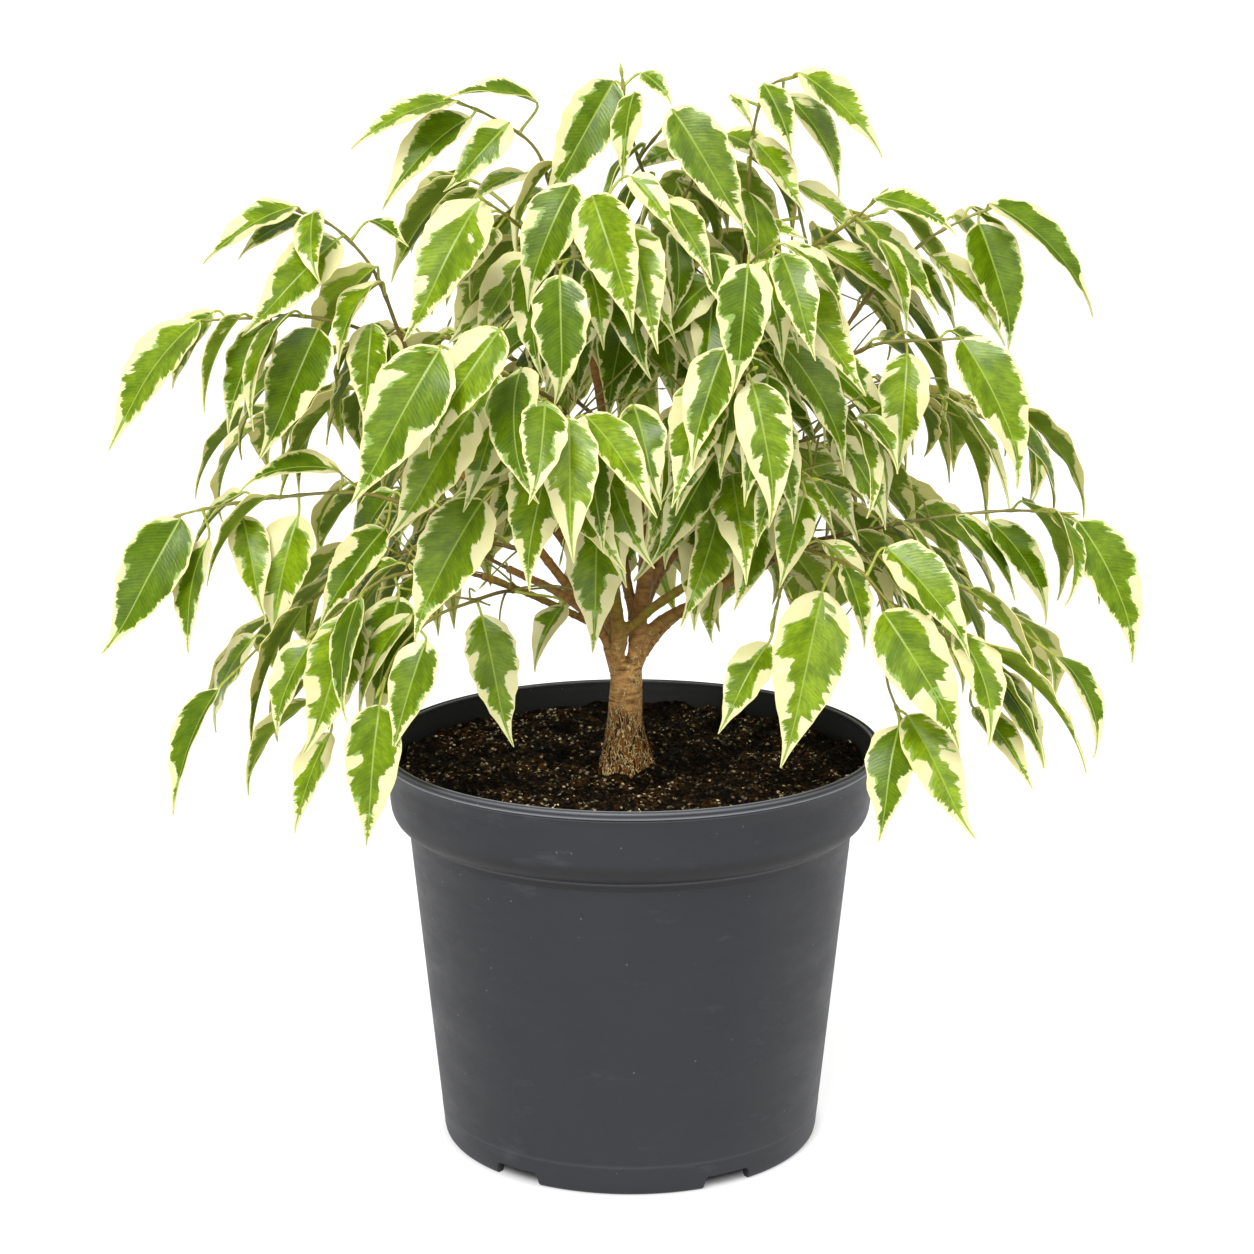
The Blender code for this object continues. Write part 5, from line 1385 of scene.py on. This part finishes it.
def blade_net():
    """The faces of a blade: upper face, rim and underside, with each corner's place in the bake map."""
    wide = len(BLADE_COLUMNS)
    last = BLADE_STATIONS - 1
    under = wide * BLADE_STATIONS
    faces, slots, spots = [], [], []
    for i in range(last):
        for j in range(wide - 1):
            ring = [(i, j), (i + 1, j), (i + 1, j + 1), (i, j + 1)]
            faces += [[a * wide + b for a, b in ring], [under + a * wide + b for a, b in ring[::-1]]]
            slots += [0, 1]
            for cell, corners in ((0, ring), (1, ring[::-1])):
                spots += [(cell, a / last, (1 + BLADE_COLUMNS[b]) / 2) for a, b in corners]
    edge = [(0, j, -1, 0) for j in range(wide - 1)] + [(i, wide - 1, 0, 1) for i in range(last)]
    edge += [(last, j, 1, 0) for j in range(wide - 1, 0, -1)] + [(i, 0, 0, -1) for i in range(last, 0, -1)]
    for (i, j, lift, reach), (next_i, next_j, _, _) in zip(edge, edge[1:] + edge[:1]):
        first, second = i * wide + j, next_i * wide + next_j
        faces.append([first, second, under + second, under + first])
        slots.append(0)
        for a, b, out in ((i, j, 0), (next_i, next_j, 0), (next_i, next_j, RIM_IN_MAP), (i, j, RIM_IN_MAP)):
            spots.append((0, a / last + lift * out, (1 + BLADE_COLUMNS[b]) / 2 + reach * out))
    return faces, slots, spots


def blade_corners(leaf, draw):
    """The corners of a blade with its fold, arch, wavy margin and hooked tip, and their vein attributes."""
    length = (leaf.tip - leaf.base).length
    hook = draw.choice((-1, 1)) * draw.uniform(*TIP_HOOKS) * length
    wave = draw.uniform(*WAVE_HEIGHTS)
    wave_length = draw.uniform(*WAVE_LENGTHS)
    phases = (draw.uniform(0, math.tau), draw.uniform(0, math.tau))
    lobes = draw.uniform(*LOBE_DEPTHS)
    lobe_length = draw.uniform(*LOBE_LENGTHS)
    fold = LEAF_FOLD * draw.uniform(*FOLD_SHARES)
    cup = draw.uniform(*CUPS)
    number = draw.uniform(0, 400)
    tone = draw.random()
    upper, lower, veins, edges = [], [], [], []
    for i in range(BLADE_STATIONS):
        share = i / (BLADE_STATIONS - 1)
        point, side, over = blade_frame(leaf, share)
        half = leaf.width * length * outline(share)
        slope = leaf.width * (outline(min(share + 0.02, 1)) - outline(max(share - 0.02, 0))) / 0.04
        run = share * length
        hooked = hook * max(0, (share - 0.6) / 0.4) ** 2
        for column in BLADE_COLUMNS:
            lobe = 1 + lobes * math.sin(math.tau * run / lobe_length + phases[column < 0])
            across = column * half * lobe
            rise = math.sin(fold) * (math.hypot(across, 0.9) - 0.9) - cup * column * column * half / 12
            ripple = abs(column) ** 3 * math.sin(math.tau * run / wave_length + phases[column > 0])
            rise += wave * ripple * min(1, half / 6) - (MIDRIB_GROOVE if column == 0 else 0)
            place = point + side * (across * math.cos(fold) + hooked) + over * rise
            rib = MIDRIB_RIDGE * (1 - 0.8 * share) if column == 0 else 0
            thick = BLADE_EDGE * (1 if abs(column) < 0.9 else 0.7)
            upper.append(place)
            lower.append(place - over * (thick + rib))
            veins += [run - VEIN_LEAN * abs(across) - VEIN_BEND * across * across, across, number]
            edges += [(1 - abs(column)) * half / math.hypot(1, slope), share, tone]
    return upper + lower, veins * 2, edges * 2


def petiole(leaf):
    """The thin round stalk of a leaf, from its joint on the twig into the back of the blade."""
    _, side, over = blade_frame(leaf, 0.0)
    along = side.cross(over)
    reach = (leaf.base - leaf.root).length
    out = (leaf.base - leaf.root).normalized()
    knots = (leaf.root, leaf.root + 0.4 * reach * out, leaf.base - 0.35 * reach * along,
             leaf.base + 1.2 * along - 0.35 * over)
    points = []
    for i in range(len(PETIOLE_RADII)):
        t = i / (len(PETIOLE_RADII) - 1)
        points.append((1 - t) ** 3 * knots[0] + 3 * (1 - t) ** 2 * t * knots[1]
                      + 3 * (1 - t) * t * t * knots[2] + t ** 3 * knots[3])
    return tube(points, PETIOLE_RADII, STALK_SIDES)


def twig_and_bud(twig, leaves):
    """A twig that swells at each leaf's joint and ends in a pointed bud, and its age at each ring."""
    points = list(twig.points)
    radii = [TWIG_SLIMNESS * radius for radius in twig.radii]
    for leaf in leaves:
        for i, point in enumerate(points):
            if (point - leaf.root).length < JOINT_REACH:
                radii[i] += JOINT_SWELL
    heading = (points[-1] - points[-2]).normalized()
    points += [points[-1] + heading * BUD_STEP * (i + 1) for i in range(len(BUD_RADII))]
    radii += [radius * twig.radii[-1] / TWIG_RADII[1] for radius in BUD_RADII]
    girth = twig.radii[0] / TWIG_RADII[0]
    ages = [girth * (1 - i / (len(points) - 1)) for i in range(len(points))]
    return tube(points, radii, TWIG_SIDES), ages


class Cells:
    """Places in the bake map: tall cells for blades in rows, and thin ones for stalks along the top."""

    def __init__(self, blades, stalks):
        self.columns = max(1, round(math.sqrt(blades / 2.6)))
        self.rows = math.ceil(blades / self.columns)
        self.stalks = stalks

    def blade(self, number, along, across):
        column, row = number % self.columns, number // self.columns
        inner = 1 - 2 * CELL_EDGE
        across = BLADES_IN_MAP * (row + CELL_EDGE + inner * across) / self.rows
        return (column + CELL_EDGE + inner * along) / self.columns, across

    def stalk(self, number, along, around):
        return (number + 0.1 + 0.8 * around) / self.stalks, BLADES_IN_MAP + 0.01 + 0.1 * along


def spray_mesh(name, leaves, twigs, draw, net):
    """The mesh of one spray: blades, petioles and twigs, with the attributes that their finishes read."""
    faces, slots, spots = net
    corners, all_faces, all_slots, places = [], [], [], []
    veins, edges, stalk_data = [], [], []
    cells = Cells(2 * len(leaves), len(leaves) + len(twigs))
    for number, leaf in enumerate(leaves):
        blade, blade_veins, blade_edges = blade_corners(leaf, draw)
        start = len(corners)
        corners += blade
        veins += blade_veins
        edges += blade_edges
        stalk_data += [0.0] * (3 * len(blade))
        all_faces += [[start + i for i in face] for face in faces]
        all_slots += slots
        places += [cells.blade(2 * number + cell, along, across) for cell, along, across in spots]
    stalks = [(petiole(leaf), STALK_SIDES, [0.0] * len(PETIOLE_RADII)) for leaf in leaves]
    for twig in twigs:
        shell, ages = twig_and_bud(twig, leaves)
        stalks.append((shell, TWIG_SIDES, ages))
    for number, (shell, sides, ages) in enumerate(stalks):
        start = len(corners)
        corners += shell.corners
        veins += [0.0] * (3 * len(shell.corners))
        edges += [0.0] * (3 * len(shell.corners))
        rings = len(ages)
        seed = draw.uniform(0, 50)
        for i in range(len(shell.corners)):
            ring = min(i // sides, rings - 1)
            stalk_data += [ages[ring], ring * FINE_STEP, seed]
        all_faces += [[start + i for i in face] for face in shell.faces]
        all_slots += [2] * len(shell.faces)
        for face_number, face in enumerate(shell.faces):
            around = face_number % sides
            for i in face:
                if i >= sides * rings:
                    places.append(cells.stalk(number, i - sides * rings, (around + 0.5) / sides))
                else:
                    turn = around + ((i - around) % sides != 0)
                    places.append(cells.stalk(number, (i // sides) / (rings - 1), turn / sides))
    mesh = bpy.data.meshes.new(name)
    mesh.from_pydata([corner * MM for corner in corners], [], all_faces)
    mesh.polygons.foreach_set("material_index", all_slots)
    for title, values in (("veins", veins), ("edge", edges), ("stalk", stalk_data)):
        mark(mesh, title, values)
    bake = mesh.uv_layers.new(name="OFBake")
    bake.data.foreach_set("uv", [value for place in places for value in place])
    mesh.shade_smooth()
    mesh.set_sharp_from_angle(angle=math.radians(BLADE_SHARP))
    return mesh


# The noises of the leaf are stretched along its side veins: millimetres from vein to vein, millimetres
# along a vein, and where the noise starts.
PATCH_NOISE = (13, 16, 0)
TEETH_NOISE = (2.6, 14, 0)
SAGE_NOISE = (4.5, 22, 40)
MOTTLE_NOISE = (0.8, 2.2, 0)
# The cream is a margin of at least this width, plus up to so much for a patch and for a tooth. It takes
# at most a share of the half width, so that the middle stays green.
MARGIN = 0.36
PATCH_WIDTH = 9.0
TEETH_WIDTH = 2.6
MOST_CREAM = 0.74
SAGE_WIDTH = 3.2
VEIN_SPACING = 1.3
LIGHT_THROUGH = "#fff08e"
TWIG_MOTTLE = 2.2


def leaf_finish(name, paleness, roughness, gloss):
    """A face of the leaf, from its vein attributes: green inside, then sage, then cream with a bright rim.

    The cream is as wide as a slow noise says, and jagged because each tooth follows a vein: both noises
    run along the veins' own coordinate.
    """
    made, tree, shader = new_finish(name, {"Roughness": roughness, "IOR": 1.45, "Specular IOR Level": gloss})
    veins = add(tree, "Attribute", attribute_name="veins").outputs["Vector"]
    edge = add(tree, "Attribute", attribute_name="edge").outputs["Vector"]
    from_rim, along, tone = add(tree, "SeparateXYZ", {"Vector": edge}).outputs
    across = add(tree, "SeparateXYZ", {"Vector": veins}).outputs["Y"]
    across = add(tree, "Math", {0: across}, operation="ABSOLUTE")
    slow, quick, streaks, mesh_of_veins = [
        add(tree, "Mapping", {"Vector": veins, "Location": (start, 0, 0), "Scale": (1 / wide, 1 / long, 1)})
        for wide, long, start in (PATCH_NOISE, TEETH_NOISE, SAGE_NOISE, MOTTLE_NOISE)]
    patch = add(tree, "TexNoise", {"Vector": slow, "Scale": 1.0, "Detail": 1.0})
    patch = add(tree, "MapRange", {"Value": patch, "From Min": 0.5, "From Max": 0.78, "To Max": PATCH_WIDTH})
    teeth = add(tree, "TexNoise", {"Vector": quick, "Scale": 1.0, "Detail": 4.0, "Roughness": 0.7})
    teeth = add(tree, "MapRange", {"Value": teeth, "From Min": 0.42, "From Max": 0.7, "To Max": TEETH_WIDTH})
    both = add(tree, "Math", {0: patch, 1: teeth}, operation="ADD")
    share = add(tree, "MapRange", {"Value": tone, "To Min": 0.45, "To Max": 1.4})
    tipward = add(tree, "MapRange", {"Value": along, "From Min": 0.72, "From Max": 0.95,
                                     "To Min": 1.0, "To Max": 0.6})
    share = add(tree, "Math", {0: share, 1: tipward}, operation="MULTIPLY")
    cream_width = add(tree, "Math", {0: both, 1: share, 2: MARGIN}, operation="MULTIPLY_ADD")
    half = add(tree, "Math", {0: across, 1: from_rim}, operation="ADD")
    widest = add(tree, "Math", {0: half, 1: MOST_CREAM}, operation="MULTIPLY")
    cream_width = add(tree, "Math", {0: cream_width, 1: widest}, operation="MINIMUM")
    inside = add(tree, "Math", {0: from_rim, 1: cream_width}, operation="SUBTRACT")
    sage = add(tree, "TexNoise", {"Vector": streaks, "Scale": 1.0, "Detail": 3.0, "Roughness": 0.6})
    sage_width = add(tree, "MapRange", {"Value": sage, "From Min": 0.5, "From Max": 0.78,
                                        "To Max": SAGE_WIDTH})
    deeper = add(tree, "Math", {0: inside, 1: sage_width}, operation="SUBTRACT")
    is_sage = add(tree, "MapRange", {"Value": inside, "From Min": -0.12, "From Max": 0.14})
    is_green = add(tree, "MapRange", {"Value": deeper, "From Min": -0.15, "From Max": 0.3})

    cloudy = add(tree, "TexNoise", {"Vector": slow, "Scale": 2.2, "Detail": 3.0})
    lines = add(tree, "TexWave", {"Vector": veins, "Scale": math.tau / 20 / VEIN_SPACING, "Distortion": 2.4,
                                  "Detail": 2.0, "Detail Scale": 0.5}, bands_direction="X")
    line = add(tree, "MapRange", {"Value": lines.outputs["Fac"], "From Min": 0.7, "To Max": 0.12})
    young = add(tree, "Mix", {"Factor": tone, "A": linear(GREEN_MID), "B": linear(GREEN_LIT)},
                data_type="RGBA")
    shade = add(tree, "MapRange", {"Value": cloudy, "From Min": 0.3, "From Max": 0.7, "To Min": 0.2,
                                   "To Max": 0.9})
    mottle = add(tree, "TexNoise", {"Vector": mesh_of_veins, "Scale": 1.0, "Detail": 3.0, "Roughness": 0.6})
    shade = add(tree, "Math", {0: mottle, 1: shade}, operation="MULTIPLY")
    shade = add(tree, "Math", {0: shade, 1: 2.0}, operation="MULTIPLY", use_clamp=True)
    green = add(tree, "Mix", {"Factor": shade, "A": linear(GREEN_DEEP), "B": young}, data_type="RGBA")
    depth = add(tree, "MapRange", {"Value": tone, "To Min": 0.72, "To Max": 1.08})
    green = add(tree, "Mix", {"Factor": 1.0, "A": green, "B": depth}, data_type="RGBA",
                blend_type="MULTIPLY")
    veined = add(tree, "Mix", {"Factor": line, "A": green, "B": linear(GREEN_LIT)}, data_type="RGBA")
    grey = add(tree, "Mix", {"Factor": cloudy, "A": linear(SAGE), "B": linear(LIME)}, data_type="RGBA")
    cream = add(tree, "Mix", {"Factor": sage, "A": linear(CREAM), "B": linear(CREAM_DEEP)}, data_type="RGBA")
    slim = add(tree, "Math", {0: along, 1: 1.4, 2: 1.0}, operation="MULTIPLY_ADD")
    across = add(tree, "Math", {0: across, 1: slim}, operation="MULTIPLY")
    rib = add(tree, "MapRange", {"Value": across, "From Min": 0.25, "From Max": 0.6, "To Min": 0.8,
                                 "To Max": 0.0})
    rim = add(tree, "MapRange", {"Value": from_rim, "From Min": 0.12, "From Max": 0.34,
                                 "To Min": 1.0, "To Max": 0.0})
    colour = cream
    for share, coat in ((is_sage, grey), (is_green, veined), (rib, linear(MIDRIB)), (rim, linear(RIM)),
                        (paleness, linear(UNDERSIDE))):
        colour = add(tree, "Mix", {"Factor": share, "A": colour, "B": coat}, data_type="RGBA")
    ripple = add(tree, "Math", {0: lines.outputs["Fac"], 1: cloudy}, operation="MULTIPLY")
    ripple = add(tree, "Math", {0: ripple, 1: 0.5}, operation="MULTIPLY")
    ripple = add(tree, "Math", {0: mottle, 1: 1.1, 2: ripple}, operation="MULTIPLY_ADD")
    ripple = add(tree, "Math", {0: cloudy, 1: 2.0, 2: ripple}, operation="MULTIPLY_ADD")
    rippled = add(tree, "Bump", {"Height": ripple, "Strength": 0.4, "Distance": 0.14 * MM})
    wire(shader, {"Base Color": colour, "Normal": rippled})
    passed = add(tree, "Mix", {"Factor": 1.0, "A": colour, "B": linear(LIGHT_THROUGH)}, data_type="RGBA",
                 blend_type="MULTIPLY")
    through = add(tree, "BsdfTranslucent", {"Color": passed, "Normal": rippled})
    both_sides = add(tree, "MixShader", {"Fac": 0.42, 1: shader, 2: through})
    wire(tree.nodes["Material Output"], {"Surface": both_sides})
    return made


# Leaf skin, grown: waxed and half glossy on top, dull and paler below; light shows through a little.
leaf_face = leaf_finish("leaf_skin_waxed", 0.0, 0.28, 0.42)
leaf_back = leaf_finish("leaf_underside_matte", 0.34, 0.55, 0.12)

# Twig skin, grown: yellow-green petioles and tips, which turn brown towards the limb, finely wrinkled.
twig_skin, tree, shader = new_finish("twig_skin_grown", {"Roughness": 0.5, "IOR": 1.45})
age = add(tree, "SeparateXYZ", {"Vector": add(tree, "Attribute", attribute_name="stalk").outputs["Vector"]})
place = add(tree, "TexCoord").outputs["Object"]
mottle = add(tree, "TexNoise", {"Vector": place, "Scale": 1 / (TWIG_MOTTLE * MM), "Detail": 4.0})
old = add(tree, "Math", {0: mottle, 1: 0.5, 2: age.outputs["X"]}, operation="MULTIPLY_ADD")
green_part = add(tree, "MapRange", {"Value": old, "From Min": 0.2, "From Max": 0.5})
brown_part = add(tree, "MapRange", {"Value": old, "From Min": 0.72, "From Max": 1.25})
young = add(tree, "Mix", {"Factor": green_part, "A": linear(PETIOLE_GREEN), "B": linear(TWIG_GREEN)},
            data_type="RGBA")
colour = add(tree, "Mix", {"Factor": brown_part, "A": young, "B": linear(TWIG_BROWN)}, data_type="RGBA")
wrinkled = add(tree, "Bump", {"Height": mottle, "Strength": 0.5, "Distance": 0.25 * MM})
wire(shader, {"Base Color": colour, "Normal": wrinkled})

thicket = Thicket()
limbs, twigs = lay_twigs(thicket)
leaves = hang_seen_leaves(twigs, thicket)
leaves = hang_other_leaves(twigs, thicket, leaves, OTHER_SEED, NODE_SPACING, ROOT_SPACING, LEAF_LENGTHS)
leaves = hang_other_leaves(twigs, thicket, leaves, EXTRA_SEED, EXTRA_SPACING, EXTRA_ROOT_SPACING,
                           EXTRA_LENGTHS)
draw = random.Random(SHOOT_SEED)
shoots = bare_shoots(twigs, thicket, draw)
net = blade_net()
draw = random.Random(BLADE_SEED)
for name, spray_twigs in twigs.items():
    own_leaves = [leaf for leaf in leaves if leaf.spray == name]
    spray_twigs = spray_twigs + [shoot for shoot in shoots if shoot.spray == name]
    foliage = show("grown_" + name, spray_mesh(name, own_leaves, spray_twigs, draw, net),
                   [leaf_face, leaf_back, twig_skin])
    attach(foliage, "root")
    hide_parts(name)


# The studio is a plain white floor under an even white sky, with one broad soft light from the upper
# left and weaker ones from the right and the front. The camera stands where the photographer stood.
FLOOR_RADIUS = 60.0
FLOOR_SIDES = 64
CAMERA_PLACE = (-0.0013, -1.1066, 0.462)
CAMERA_TILT = 76.6
CAMERA_LENS = 86.73
SKY_TOP = 0.72
SKY_FOOT = 0.4
# Each light as its strength, its softness, its height above the floor and its heading, in degrees.
LIGHTS = {"key": (3.0, 24, 47, -20), "side": (1.1, 50, 40, 60), "front": (0.85, 40, 12, -10)}
PAPER_GLOW = 0.76
SHADE_RADII = (63.0, 77.5)

# White paper, matte and lit from below. Its glow fades under the pot into a painted contact shadow, which
# shades the drain notches.
paper, tree, shader = new_finish("paper_matte", {"Base Color": (0.35, 0.35, 0.35, 1), "Roughness": 0.9,
                                                 "Specular IOR Level": 0.2, "Emission Color": (1, 1, 1, 1)})
reach = add(tree, "VectorMath", {0: add(tree, "TexCoord").outputs["Object"]}, operation="LENGTH")
glow = add(tree, "MapRange", {"Value": reach, "From Min": SHADE_RADII[0] * MM,
                              "From Max": SHADE_RADII[1] * MM, "To Max": PAPER_GLOW},
           interpolation_type="SMOOTHSTEP")
wire(shader, {"Emission Strength": glow})
floor_mesh = bpy.data.meshes.new("studio_floor")
turns = [math.tau * k / FLOOR_SIDES for k in range(FLOOR_SIDES)]
floor_mesh.from_pydata([(FLOOR_RADIUS * math.cos(turn), FLOOR_RADIUS * math.sin(turn), 0) for turn in turns],
                       [], [tuple(range(FLOOR_SIDES))])
studio_floor = show("studio_floor", floor_mesh, [paper])

world = bpy.data.worlds.new("studio_sky")
world.use_nodes = True
tree = world.node_tree
rise = add(tree, "SeparateXYZ", {"Vector": add(tree, "TexCoord").outputs["Generated"]}).outputs["Z"]
glow = add(tree, "MapRange", {"Value": rise, "To Min": SKY_FOOT, "To Max": SKY_TOP})
wire(tree.nodes["Background"], {"Color": (1.0, 1.0, 1.0, 1.0), "Strength": glow})
bpy.context.scene.world = world
bpy.context.scene.view_settings.view_transform = "Standard"

for title, (strength, softness, rise, heading) in LIGHTS.items():
    sun = bpy.data.lights.new(title, "SUN")
    sun.energy = strength
    sun.angle = math.radians(softness)
    lamp = bpy.data.objects.new(title, sun)
    lamp.rotation_euler = (math.radians(90 - rise), 0, math.radians(heading))
    bpy.context.scene.collection.objects.link(lamp)

lens = bpy.data.cameras.new("camera")
lens.lens = CAMERA_LENS
lens.clip_start = 0.01
lens.clip_end = 200
camera = bpy.data.objects.new("camera", lens)
camera.location = CAMERA_PLACE
camera.rotation_euler = (math.radians(CAMERA_TILT), 0, 0)
bpy.context.scene.collection.objects.link(camera)
bpy.context.scene.camera = camera
